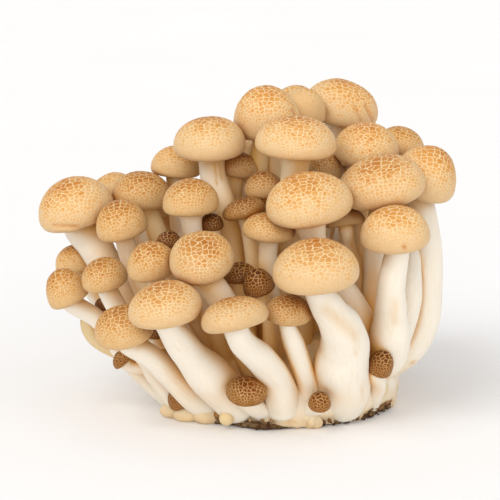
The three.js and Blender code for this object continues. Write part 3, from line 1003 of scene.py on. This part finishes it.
    def set_in_place(
        self,
        shape: BMesh,
        station: BMLayerItem,
        angles: dict[BMVert, float],
        profile: Sequence[tuple[float, float]],
    ) -> None:
        """Makes the spun shape uneven, raises the gills and moves all of it to the cap's place.

        Args:
            shape: The cap's mesh.
            station: The layer of places in the profile.
            angles: Each point's angle round the axis.
            profile: Radius and height of each place.
        """
        painted_gap_shade = shape.verts.layers.float["painted_gap_shade"]
        first_gill = self.dome_rings + self.lip_rings + self.curl_rings
        u, v = self.axes
        seed = Vector((self.number * 7.3, self.number * 3.1, 0))
        step = 2 * math.pi / self.age.steps
        for face in shape.faces:
            if min(vert[station] for vert in face.verts) >= first_gill - 1:
                face.material_index = 1
        for vert in shape.verts:
            place = round(vert[station])
            angle = angles[vert]
            radius, height = profile[place]
            ridge = 0.0
            if first_gill < place < len(profile) - 1:
                ridge = 1.0 if round(angle / step) % 2 else -1.0
            # 1 in the hollows between gills, where shade is painted.
            vert[painted_gap_shade] = 0.5 - 0.5 * ridge
            out = radius * self.wobble(angle)
            local = Vector((out * math.cos(angle), out * math.sin(angle), height))
            rough = self.unevenness * self.wide * noise.noise(local * (2.2 / self.wide) + seed)
            rough += 0.06 * noise.noise(local * 0.6 + seed)
            local *= 1 + rough / (0.5 * self.wide)
            local.z -= self.gill_depth * self.wide * ridge
            vert.co = self.rim + u * local.x + v * local.y + self.up * local.z


@dataclass
class Curve:
    """A smooth line through points, or a cubic curve with two guide points."""

    points: list[Vector]
    guided: bool = False

    def point(self, share: float) -> Vector:
        """Finds a point of the line.

        Args:
            share: From 0 at the foot to 1 at the top. Past both ends the line runs on straight.

        Returns:
            The point.
        """
        if share < 0:
            return self.point(0) + self.tangent(0) * share * self.length
        if share > 1:
            return self.point(1) + self.tangent(1) * (share - 1) * self.length
        p = self.points
        if self.guided:
            rest = 1 - share
            return (
                p[0] * rest**3
                + p[1] * 3 * rest * rest * share
                + p[2] * 3 * rest * share * share
                + p[3] * share**3
            )
        last = len(p) - 1
        start = min(int(share * last), last - 1)
        t = share * last - start
        before = p[start - 1] if start else 2 * p[0] - p[1]
        after = p[start + 2] if start + 2 <= last else 2 * p[last] - p[last - 1]
        a, b = p[start], p[start + 1]
        leave, arrive = (b - before) / 2, (after - a) / 2
        return (
            a
            + leave * t
            + (3 * (b - a) - 2 * leave - arrive) * t * t
            + (2 * (a - b) + leave + arrive) * t**3
        )

    def tangent(self, share: float) -> Vector:
        """The direction of the line at a share of it."""
        low, high = max(0.0, share - 1e-3), min(1.0, share + 1e-3)
        return (self.point(high) - self.point(low)).normalized()

    @property
    def length(self) -> float:
        """Its length, summed over short steps."""
        stops = [self.point(i / 24) for i in range(25)]
        return sum((b - a).length for a, b in zip(stops, stops[1:]))


# The middle lines of the stems in full view, from the foot up: across, up, back and thickness.
SEEN_STEMS = {
    1: ((-15, 5, -6, 6.5), (-27.5, 21.2, -3, 7), (-34.5, 32.5, 0, 8), (-38.6, 39.5, 2, 8.8)),
    4: ((-12, 5, -10, 5.4), (-24, 24, -10, 5.2), (-29.6, 36, -8, 5.2)),
    6: ((-1.2, 8.8, -5, 7.6), (-4.5, 38.8, -5, 7.2), (-7, 50, -3, 7), (-9.2, 57, -1, 6.5)),
    14: ((25, 8, -4, 6), (28.4, 30, -3, 5.2), (27.6, 46, -1, 4.8)),
    15: (
        (32.5, 8.5, -6, 6.6),
        (36.8, 17.5, -9, 7.4),
        (39, 26.2, -10, 7.8),
        (40, 36, -6, 5.6),
        (39, 50, 9, 4.6),
    ),
    16: ((25, 6, -8, 6.6), (29.8, 18.8, -10, 6.8), (31.4, 31.2, -11, 6.2), (31.4, 41.2, -13, 5.8)),
    17: (
        (33.5, 9, -3, 7),
        (40.2, 14.6, -3, 8),
        (43.6, 21.5, -3, 7.9),
        (44.4, 30, -3, 7.3),
        (44.4, 40, -3, 7),
    ),
    18: (
        (26, 8, -11, 7),
        (28, 18.8, -15, 7.2),
        (25.5, 25.2, -17, 7),
        (20.6, 32.6, -19, 6.2),
        (16.6, 40, -21, 5.8),
    ),
    23: ((23, 8, -6, 4.6), (27.4, 28, -7, 4.2), (24.8, 39, -9, 3.5)),
    24: (
        (31, 7.6, -12, 7.4),
        (34.5, 12.8, -17, 9.7),
        (35, 17, -20, 10.2),
        (35.2, 23.2, -22, 8),
        (35.4, 30, -24, 6.8),
    ),
    25: ((3, 5, -18, 7.4), (-2.5, 17.5, -24, 7.2), (-7.2, 26.6, -29, 6.8)),
    27: (
        (23, 0.8, -17.5, 11.6),
        (23.4, 4.6, -21, 13.2),
        (22.9, 10.2, -26, 13.4),
        (23.7, 14.8, -29, 12.2),
        (22.9, 19.2, -33, 10.4),
        (20, 23.6, -36, 8.2),
    ),
    28: ((-15.6, -1.2, -12, 6.8), (-22.5, 6.6, -13, 5.8), (-28.8, 16.2, -16, 5.2), (-33, 23.8, -17, 5)),
    30: ((-17.4, 0.4, -8, 6.6), (-24, 5.2, -6, 5.4), (-31, 12, -8, 4.8), (-37.4, 20.8, -9, 4.6)),
    31: ((-2.8, 0.2, -21, 10.4), (-9.5, 6.8, -27, 10.8), (-15.8, 13.4, -34, 7.8)),
    32: ((-9.5, -1, -16.5, 7), (-14, 1.6, -19, 6.6), (-20.4, 8, -24, 6.2), (-25.2, 12.4, -28, 5.8)),
    33: (
        (8, -0.6, -23.5, 8.4),
        (7.9, 2, -25, 8.8),
        (6.2, 6.8, -29, 7.8),
        (2.6, 11.6, -35, 7.4),
        (-1.2, 14.8, -40, 6.6),
    ),
    36: ((14.4, -0.6, -21.5, 6.2), (14.5, 5, -24, 5.6), (13, 9.6, -27, 5.2), (11, 15.4, -31, 5.2)),
    37: ((3.4, -1.6, -23, 5), (1.4, -0.6, -27, 4.8)),
    39: ((30, 0.4, -12, 4.8), (32, 4.8, -18, 4)),
}

# Pins: across, up, back and width. The first two and the last two bear a small brown cap.
PINS = (
    (-9.6, 45, -12, 6),
    (-20.3, 40.6, -16, 6),
    (-40.4, 21.4, -4, 5),
    (-6, -2.8, -26, 4),
    (-23.6, 17.6, -17, 4.6),
    (-36.6, 24.8, -4, 4.4),
)
CAPPED_PINS = (1, 2, 5, 6)

# Stems deep inside that end under caps in front of them: across, up, back and thickness, from the foot up.
INNER_STEMS = (
    ((-6, 8, 2, 5.4), (-17.5, 30, 4, 5), (-23.2, 43.5, 5, 4.8), (-26.4, 53, 6, 4.4)),
    ((-4, 8, 4, 6), (-10.5, 34, 8, 5.4), (-11, 47, 10, 5), (-6, 61, 20, 4.6)),
    ((4, 8, 2, 6), (1.5, 40, 5, 5.6), (2.2, 60, 7, 5), (4, 72, 8, 4.6)),
    ((14, 8, 0, 6), (16, 34, 2, 5.4), (18.5, 59, 5, 4.4)),
    ((20, 8, 6, 6), (24, 34, 12, 5.4), (27, 61, 25, 4.6)),
    ((28, 8, 6, 6), (34, 26, 8, 5.4), (38.4, 41, 12, 4.4)),
)


@dataclass
class Stem:
    """A white stem from the butt to its cap, or a pin, which ends in a knob of its own."""

    name: str
    rim: Vector
    up: Vector
    wide: float
    neck: float
    stations: tuple = ()
    pin: bool = False
    cream: float = 0.0  # how much of the tan inside colour it takes at least: painted shade on the inner stems, the own tan of a bare pin
    rings: int = 40
    sides: int = 40
    cut: float = 0.5  # height of the cut foot
    foot_up: float = 4.2  # height of the middle of a foot that isn't in view
    foot_ring: float = 24.0  # as far out as a foot stands
    gathering: float = 0.56  # how far out the foot is, in shares of the cap's distance from AXIS
    curve: Curve = field(init=False)
    radii: list[float] = field(init=False)

    def __post_init__(self) -> None:
        """Works out the middle line as the stem's solid has it."""
        top = self.rim - self.up * (0.022 * self.wide + 0.3)
        if self.stations:
            points = [from_front(*station[:3]) for station in self.stations]
            self.curve = Curve([*points, top - self.up * 0.2 * self.wide, top])
            self.radii = [*(station[3] / 2 for station in self.stations), self.neck, self.neck]
            return
        foot = self.foot()
        length = (top - foot).length
        rise = Vector((0.25 * (top.x - foot.x), 0.25 * (top.y - foot.y), 0.36 * length))
        self.curve = Curve([foot, foot + rise, top - self.up * 0.36 * length, top], guided=True)
        self.radii = []

    @classmethod
    def of_cap(cls, cap: Cap) -> "Stem":
        """The stem under a cap."""
        stations = SEEN_STEMS.get(cap.number, ())
        neck = cap.neck + 0.15
        return cls(f"stem_{cap.number:02d}", cap.rim, cap.up, cap.wide, neck, stations)

    @classmethod
    def of_pin(cls, number: int, place: tuple[float, float, float, float]) -> "Stem":
        """A pin whose knob is seen at a place.

        Args:
            number: The pin's number.
            place: Its knob's across, up, back and width.

        Returns:
            The pin. One without a cap is creamier.
        """
        up = Vector((0, -math.tan(math.radians(10)), 1)).normalized()
        rim, wide = from_front(*place[:3]), place[3]
        cream = 0.0 if number in CAPPED_PINS else 1.0
        return cls(f"pin_{number}", rim, up, wide, 0.3 * wide + 0.15, pin=True, cream=cream)

    @classmethod
    def inside(cls, number: int, stations: tuple) -> "Stem":
        """A stem deep inside the cluster.

        Args:
            number: The stem's number.
            stations: Its middle line: across, up, back and thickness, from the foot up.

        Returns:
            The stem, tinted tan all over as painted shade.
        """
        top = from_front(*stations[-1][:3])
        up = Vector((0, 0, 1))
        return cls(f"inner_stem_{number}", top, up, 5, stations[-1][3] / 2, stations[:-1], cream=0.9)

    def foot(self) -> Vector:
        """Finds where the stem stands. A low cap has a short stem close in below it.

        Returns:
            The foot's middle.
        """
        outward = (self.rim - AXIS).to_2d()
        low = self.wide < 15 and self.rim.z < 22
        if low:
            outward = outward.normalized() * min(outward.length - 0.9 * self.wide, self.foot_ring)
        else:
            outward = outward.normalized() * min(outward.length * self.gathering, self.foot_ring)
        height = max(self.foot_up, self.rim.z - 0.7 * self.wide) if low else self.foot_up
        return Vector((AXIS.x + outward.x, AXIS.y + outward.y, height))

    def radius(self, share: float) -> float:
        """Finds how thick the stem is.

        Args:
            share: From 0 at the foot to 1 at the top.

        Returns:
            Its radius there.
        """
        share = min(1.0, max(0.0, share))
        if self.radii:
            last = len(self.radii) - 1
            start = min(int(share * last), last - 1)
            thick = mix(self.radii[start], self.radii[start + 1], smoothstep(share * last - start, 0, 1))
        else:
            thick = self.neck * mix(1.65, 1, smoothstep(share, 0.18, 0.92))
        if self.pin:
            return thick * mix(1, 1.25, smoothstep(share, 0.6, 0.95))
        return thick * mix(1, 1.16, smoothstep(share, 0.9, 1.0))

    def stops(self) -> list[tuple[float, float]]:
        """Draws half of the stem's cut, from the round of its foot to its top.

        Returns:
            For each point, how far out it is, in shares of the thickness, and how far up the middle line.
        """
        length = self.curve.length
        foot = [(math.sin(t), -0.6 * self.radius(0) * math.cos(t) / length) for t in (0, 0.5, 1.0, 1.3)]
        side = [(1.0, i / self.rings) for i in range(self.rings + 1)]
        if self.pin:
            knob = self.radius(1) / length
            top = [(math.cos(t), 1 + knob * math.sin(t)) for t in (0.4, 0.8, 1.2, 1.5)]
            return [*foot, *side, *top, (0.0, 1 + knob)]
        inside_cap = 1 + (0.022 * self.wide + 0.9) / length
        return [*foot, *side, (1.0, inside_cap), (0.0, inside_cap)]

    def build(self) -> Object:
        """Builds and dresses the stem.

        Returns:
            Its piece.
        """
        stops = self.stops()
        shape, station = spun(stops, self.sides)
        self.bend(shape, station, stops)
        if min(vert.co.z for vert in shape.verts) < self.cut:
            cut = bmesh.ops.bisect_plane(
                shape, geom=[*shape.verts, *shape.edges, *shape.faces], dist=1e-4,
                plane_co=(0, 0, self.cut), plane_no=(0, 0, 1), clear_inner=True,
            )
            rim = [item for item in cut["geom_cut"] if isinstance(item, bmesh.types.BMEdge)]
            bmesh.ops.edgeloop_fill(shape, edges=rim)
        bmesh.ops.recalc_face_normals(shape, faces=shape.faces)
        press_marks(shape, self.name)
        return finish_piece(shape, self.name, [MATERIALS[FLESH.name]], "stem_flesh", ["stems_and_butt"])

    def bend(self, shape: BMesh, station: BMLayerItem, stops: Sequence[tuple[float, float]]) -> None:
        """Bends the spun shape along the middle line, makes it uneven and notes its grain and its tan tint:
        painted shade deep in the cluster, a bare pin's own tan.

        Args:
            shape: The stem's mesh.
            station: The layer of places in the cut.
            stops: The cut.
        """
        length = self.curve.length
        frames = self.frames([share for _, share in stops])
        grain = shape.verts.layers.float_vector.new("grain")
        inner = shape.verts.layers.float.new("inner")
        shape.verts.layers.float.new("stain")
        number = sum(map(ord, self.name))
        seed = Vector((number * 1.7, number * 0.9, number * 0.3))
        for vert in shape.verts:
            place = round(vert[station])
            thin, share = stops[place]
            centre, u, v = frames[place]
            angle = math.atan2(vert.co.y, vert.co.x) if thin else 0.0
            thick = self.radius(share)
            along = share * length
            turn = Vector((math.cos(angle), math.sin(angle), 0))
            uneven = 0.04 * noise.noise(turn * 0.7 + Vector((0, 0, along / 11)) + seed)
            uneven += 0.012 * noise.noise(turn * 1.8 + Vector((0, 0, along / 14)) + seed)
            out = thin * thick * (1 + uneven)
            vert.co = centre + u * out * turn.x + v * out * turn.y
            vert[grain] = seed * 9 + Vector((thick * turn.x, thick * turn.y, along))
            # Painted shade: tan deep in the cluster and on the inner stems; on a bare pin, its own tan.
            vert[inner] = max(self.cream, self.shade(vert.co))

    def frames(self, shares: Sequence[float]) -> list[tuple[Vector, Vector, Vector]]:
        """Carries two directions across the stem up along it, without a twist.

        Args:
            shares: Where to give them, from the foot up.

        Returns:
            For each share, the middle and both directions.
        """
        found = []
        u = Vector((1, 0, 0))
        for share in shares:
            along = self.curve.tangent(min(1.0, max(0.0, share)))
            u = (u - along * along.dot(u)).normalized()
            found.append((self.curve.point(share), u, along.cross(u)))
        return found

    @staticmethod
    def shade(point: Vector) -> float:
        """How deep inside the cluster a point is, from 0 to 0.6: flesh there gets painted shade, a tan tint.
        """
        out = (point - AXIS).to_2d().length
        return 0.6 * (1 - smoothstep(out, 9, 24)) * smoothstep(point.z, 6, 20)


# Cream lobes that reach the floor at the left: across, up, back, size and how much longer than wide.
FEET = (
    (-19.2, -1.2, -13, 2.4, 1.3),
    (-15.2, -2.2, -16, 3.0, 1.4),
    (-17.8, 0.6, -10, 3.0, 1.1),
    (-10.6, -2.6, -18.5, 3.0, 1.3),
)


def shows_crumbs(angle: float) -> bool:
    """Whether bare crumbs show at this angle round the foot, as they do at the front right and the back."""
    turn = math.degrees(angle) % 360
    return 285 < turn < 345 or 60 < turn < 130


@dataclass
class Butt:
    """The fused white mass that all stems rise from, with small knobs that never grew up."""

    middle: Vector = field(default_factory=lambda: Vector((10.6, 0.4, 0)))
    outline: tuple = (
        (0, 19), (8, 18.6), (16.5, 16.5), (22.4, 13.2), (25.6, 10), (27, 7.4), (27.3, 5), (27.2, 2.6),
        (26.4, 0.5),
    )
    bottom: float = 0.5
    steps: int = 144
    rings: int = 36
    flutes: float = 1.6  # how far the feet of the fused stems stand out
    lumps: float = 0.7
    set_back: float = 1.5  # how far the foot draws in behind bare crumbs
    knob_middle: Vector = field(default_factory=lambda: Vector((10.2, 0.1, 0)))
    knob_ring: float = 26.6
    knobs: int = 110
    knob_sizes: tuple[float, float] = (0.9, 2.2)
    highest_knob: float = 8.0

    def build(self) -> list[Object]:
        """Builds the butt and its knobs.

        Returns:
            Their pieces.
        """
        line = Curve([Vector((radius, 0, height)) for radius, height in self.outline])
        points = [line.point(i / self.rings) for i in range(self.rings + 1)]
        side = [(max(0.0, point.x), point.z) for point in points]
        profile = [*side, (14.0, self.bottom), (0.0, self.bottom)]
        shape, _ = spun(profile, self.steps)
        grain = shape.verts.layers.float_vector.new("grain")
        inner = shape.verts.layers.float.new("inner")
        stain = shape.verts.layers.float.new("stain")
        for vert in shape.verts:
            angle = math.atan2(vert.co.y, vert.co.x)
            out = vert.co.to_2d().length
            place = vert.co + self.middle
            upright = Vector((6 * math.cos(angle), 6 * math.sin(angle), place.z / 16))
            lump = self.lumps * noise.noise(place * 0.22) + self.flutes * noise.noise(upright)
            if shows_crumbs(angle):
                lump -= self.set_back * (1 - smoothstep(place.z, 1.5, 4))
            if out > 1:
                vert.co.x *= 1 + lump / out
                vert.co.y *= 1 + lump / out
            vert[grain] = Vector((place.x, place.y, 3 * place.z))
            # Painted shade tans the top of the butt deep under the stems, as on the stems. Low down it is
            # tanner too, and darker towards the floor.
            vert[inner] = 0.8 * smoothstep(place.z, 7, 14) + 0.5 * (1 - smoothstep(place.z, 1, 8))
            vert[stain] = 0.4 * (1 - smoothstep(place.z, 0.5, 7))
            vert.co += self.middle
        butt = finish_piece(shape, "butt", [MATERIALS[FLESH.name]], "stem_flesh", ["stems_and_butt"])
        return [butt, self.build_knobs()]

    def build_knobs(self) -> Object:
        """Builds the small knobs round the butt, sunk halfway into it.

        Returns:
            Their piece.
        """
        chance = random.Random(11)
        noise.seed_set(11)  # or noise_vector starts from the clock
        shape = bmesh.new()
        for number in range(self.knobs):
            angle = 2 * math.pi * (number + chance.uniform(-0.35, 0.35)) / self.knobs
            size = chance.uniform(*self.knob_sizes)
            height = max(0.75 * size, chance.uniform(0.6, self.highest_knob) * chance.uniform(0.4, 1))
            if shows_crumbs(angle) and height < 4:
                continue
            out = self.knob_ring - 0.55 * size
            place = self.knob_middle + Vector((out * math.cos(angle), out * math.sin(angle), height))
            tilt = Matrix.Rotation(chance.uniform(0, 3), 4, "Z")
            tilt @= Matrix.Rotation(chance.uniform(-0.6, 0.6), 4, "X")
            stretch = Matrix.Diagonal((1, chance.uniform(0.6, 1.1), chance.uniform(0.9, 1.7), 1))
            bmesh.ops.create_icosphere(
                shape, subdivisions=3, radius=size, matrix=Matrix.Translation(place) @ tilt @ stretch
            )
        for across, up, back, size, long in FEET:
            place = Matrix.Translation(from_front(across, up, back))
            bmesh.ops.create_icosphere(
                shape, subdivisions=3, radius=size, matrix=place @ Matrix.Diagonal((long, 1, 0.8, 1))
            )
        grain = shape.verts.layers.float_vector.new("grain")
        inner = shape.verts.layers.float.new("inner")
        stain = shape.verts.layers.float.new("stain")
        for vert in shape.verts:
            vert.co += 0.6 * noise.noise_vector(vert.co * 0.35) + 0.35 * noise.noise_vector(vert.co * 0.9)
            vert.co.z = max(0.1, vert.co.z)
            vert[grain] = vert.co.copy()
            # The knobs take the tan inside colour as their own, darker towards the floor.
            vert[inner] = 0.65
            vert[stain] = mix(0.5, 0.0, smoothstep(vert.co.z, 0.5, 4))
        return finish_piece(shape, "butt_knobs", [MATERIALS[FLESH.name]], "stem_flesh")


@dataclass
class GrowingMedium:
    """The thin crumbly cake of growing medium left under the butt, and its loose crumbs."""

    middle: Vector = field(default_factory=lambda: Vector((7.2, -1.8, 0)))
    radius: float = 24.4
    thickness: float = 1.5
    bumps: tuple = ((1.1, 3, 1), (0.66, 7, 0), (0.44, 11, 2))
    steps: int = 168
    crumbs: int = 2400
    covered: float = 0.8  # share of them that knobs hide where no crumbs show
    under_butt: float = 0.75  # share that lies in a ring under the butt where crumbs show
    butt_ring: tuple[float, float] = (24.0, 26.4)
    fine: tuple[float, float] = (0.25, 0.65)
    coarse: tuple[float, float] = (0.65, 1.1)
    fine_share: float = 0.9
    pile: float = 2.9  # height that crumbs reach

    def edge(self, angle: float) -> float:
        """How far out the cake's edge is at an angle."""
        waves = (size * math.sin(count * angle + start) for size, count, start in self.bumps)
        return self.radius + sum(waves)

    def build(self) -> list[Object]:
        """Builds the cake and its crumbs.

        Returns:
            Their pieces.
        """
        top, edge = self.thickness, self.radius
        profile = [(0, top), (8, top), (14, top), (18, top), (edge - 4, top), (edge - 2.4, top)]
        profile += [(edge - 1.4, 1.45), (edge - 0.7, 1.3), (edge - 0.2, 1.05), (edge, 0.75)]
        profile += [(edge - 0.1, 0.4), (edge - 0.5, 0.1), (edge - 0.9, 0), (12, 0), (0, 0)]
        shape, _ = spun(profile, self.steps)
        tone = shape.verts.layers.float.new("tone")
        bound = shape.verts.layers.float.new("bound")
        for vert in shape.verts:
            angle = math.atan2(vert.co.y, vert.co.x)
            vert[bound] = 0.1 if shows_crumbs(angle) else 0.5
            out = vert.co.to_2d().length
            share = self.edge(angle) / self.radius
            rough = 0.0
            if out > 20:
                rough = 0.45 * noise.noise(vert.co * 0.9) + 0.3 * noise.noise(vert.co * 2.1)
            vert.co.x *= share * (1 + rough / max(out, 1))
            vert.co.y *= share * (1 + rough / max(out, 1))
            if vert.co.z > 0.2:
                vert.co.z = max(0.2, vert.co.z + 0.25 * noise.noise(vert.co * 1.3))
            vert[tone] = 0.45 + 0.4 * noise.noise(vert.co * 0.4)
            vert.co += self.middle
        cake = finish_piece(
            shape, "growing_medium_cake", [MATERIALS[SUBSTRATE.name]], "growing_medium", ["growing_medium"]
        )
        return [cake, self.build_crumbs()]

    def build_crumbs(self) -> Object:
        """Builds the crumbs that stick out of the cake's edge and top.

        Returns:
            Their piece.
        """
        chance = random.Random(5)
        under_butt = Butt().middle
        shape = bmesh.new()
        tone = shape.verts.layers.float.new("tone")
        bound = shape.verts.layers.float.new("bound")
        for _ in range(self.crumbs):
            angle = chance.uniform(0, 2 * math.pi)
            if not shows_crumbs(angle) and chance.random() < self.covered:
                continue
            size = chance.uniform(*(self.fine if chance.random() < self.fine_share else self.coarse))
            if shows_crumbs(angle) and chance.random() < self.under_butt:
                middle, out = under_butt, chance.uniform(*self.butt_ring)
            else:
                middle, out = self.middle, self.edge(angle) - abs(chance.gauss(0, 1.3)) + 0.2
            height = max(size * 0.7, chance.uniform(0.3, self.pile))
            place = middle + Vector((out * math.cos(angle), out * math.sin(angle), height))
            turned = Matrix.Rotation(chance.uniform(0, 6), 4, Vector((chance.random(), chance.random(), 1)))
            long, wide, tall = chance.uniform(0.7, 1.3), chance.uniform(0.7, 1.1), chance.uniform(0.6, 1)
            stretch = Matrix.Diagonal((long, wide, tall, 1))
            made = bmesh.ops.create_icosphere(
                shape, subdivisions=1, radius=size, matrix=Matrix.Translation(place) @ turned @ stretch
            )
            shade = chance.uniform(0.1, 0.9)
            for vert in made["verts"]:
                vert[tone] = shade
                vert[bound] = 0.25
                vert.co.z = max(0.05, vert.co.z)
        return finish_piece(shape, "growing_medium_crumbs", [MATERIALS[SUBSTRATE.name]], "growing_medium")


@dataclass
class Studio:
    """A white floor, soft light and the camera of the front view."""

    floor_side: float = 8000.0
    surround: float = 0.7
    # Name, direction towards the lamp, strength, softness in degrees, colour.
    lamps: tuple = (
        ("key", Vector((-0.6, -0.7, 1.0)), 1.22, 34, "FFFCF6"),
        ("front fill", Vector((-0.05, -1, 0.22)), 0.8, 36, "FFFAF2"),
        ("side fill", Vector((1, -1.1, 0.35)), 0.45, 45, "FFFFFF"),
    )

    def build(self) -> None:
        """Builds the studio round the cluster."""
        shape = bmesh.new()
        bmesh.ops.create_grid(shape, x_segments=8, y_segments=8, size=self.floor_side / 2 * MM)
        mesh = bpy.data.meshes.new("floor")
        shape.to_mesh(mesh)
        shape.free()
        mesh.materials.append(MATERIALS[PaperFloor.name])
        floor = bpy.data.objects.new("floor", mesh)
        bpy.context.scene.collection.objects.link(floor)
        self.light_up()
        self.place_camera()

    def light_up(self) -> None:
        """Sets the white surround, a soft key from the upper left and fills from the front and the right."""
        world = bpy.data.worlds.new("white studio")
        world.use_nodes = True
        world.node_tree.nodes.clear()
        glow = add_node(
            world.node_tree, "Background", {"Color": linear("FFFEFC"), "Strength": self.surround}
        )
        add_node(world.node_tree, "OutputWorld", {"Surface": glow.outputs[0]})
        scene = bpy.context.scene
        scene.world = world
        scene.view_settings.view_transform = "Standard"
        for name, towards, strength, softness, colour in self.lamps:
            lamp = bpy.data.lights.new(name, "SUN")
            lamp.energy = strength
            lamp.angle = math.radians(softness)
            lamp.color = linear(colour)[:3]
            holder = bpy.data.objects.new(name, lamp)
            holder.rotation_euler = towards.to_track_quat("Z", "Y").to_euler()
            scene.collection.objects.link(holder)

    def place_camera(self) -> None:
        """Sets the camera where the front view was taken from."""
        data = bpy.data.cameras.new("front_view")
        data.sensor_width = 36
        data.lens = 36 * EYE_DISTANCE / PICTURE_WIDTH
        data.clip_end = 30
        camera = bpy.data.objects.new("front_view", data)
        camera.location = EYE * MM
        camera.rotation_euler = TO_EYE.to_track_quat("Z", "Y").to_euler()
        bpy.context.scene.collection.objects.link(camera)
        bpy.context.scene.camera = camera


def make_materials() -> None:
    """Builds every finish once."""
    for finish in (YOUNG_SKIN, MIDDLING_SKIN, GROWN_SKIN, FLESH, GILLS, SUBSTRATE, PaperFloor()):
        MATERIALS[finish.name] = finish.build()
        log.info("finish: %s", finish.name)


def main() -> None:
    """Builds the cluster's pieces in order, then the studio, and logs each piece's faces."""
    logging.basicConfig(level=logging.INFO, format="%(message)s")
    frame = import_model()
    make_materials()
    for node in sorted(frame["nodes"]):
        if not node.startswith("cap_"):
            continue
        cap = Cap.of_node(int(node[4:]), frame["nodes"][node])
        cap.build()
        Stem.of_cap(cap).build()
    for number, place in enumerate(PINS, 1):
        pin = Stem.of_pin(number, place)
        pin.build()
        if number in CAPPED_PINS:
            Cap(number, pin.rim, pin.up, pin.wide, 0.48 * pin.wide, 0.6 * pin.neck, added=True).build()
    for number, stations in enumerate(INNER_STEMS, 1):
        Stem.inside(number, stations).build()
    Butt().build()
    GrowingMedium().build()
    Studio().build()


if __name__ == "__main__":
    main()
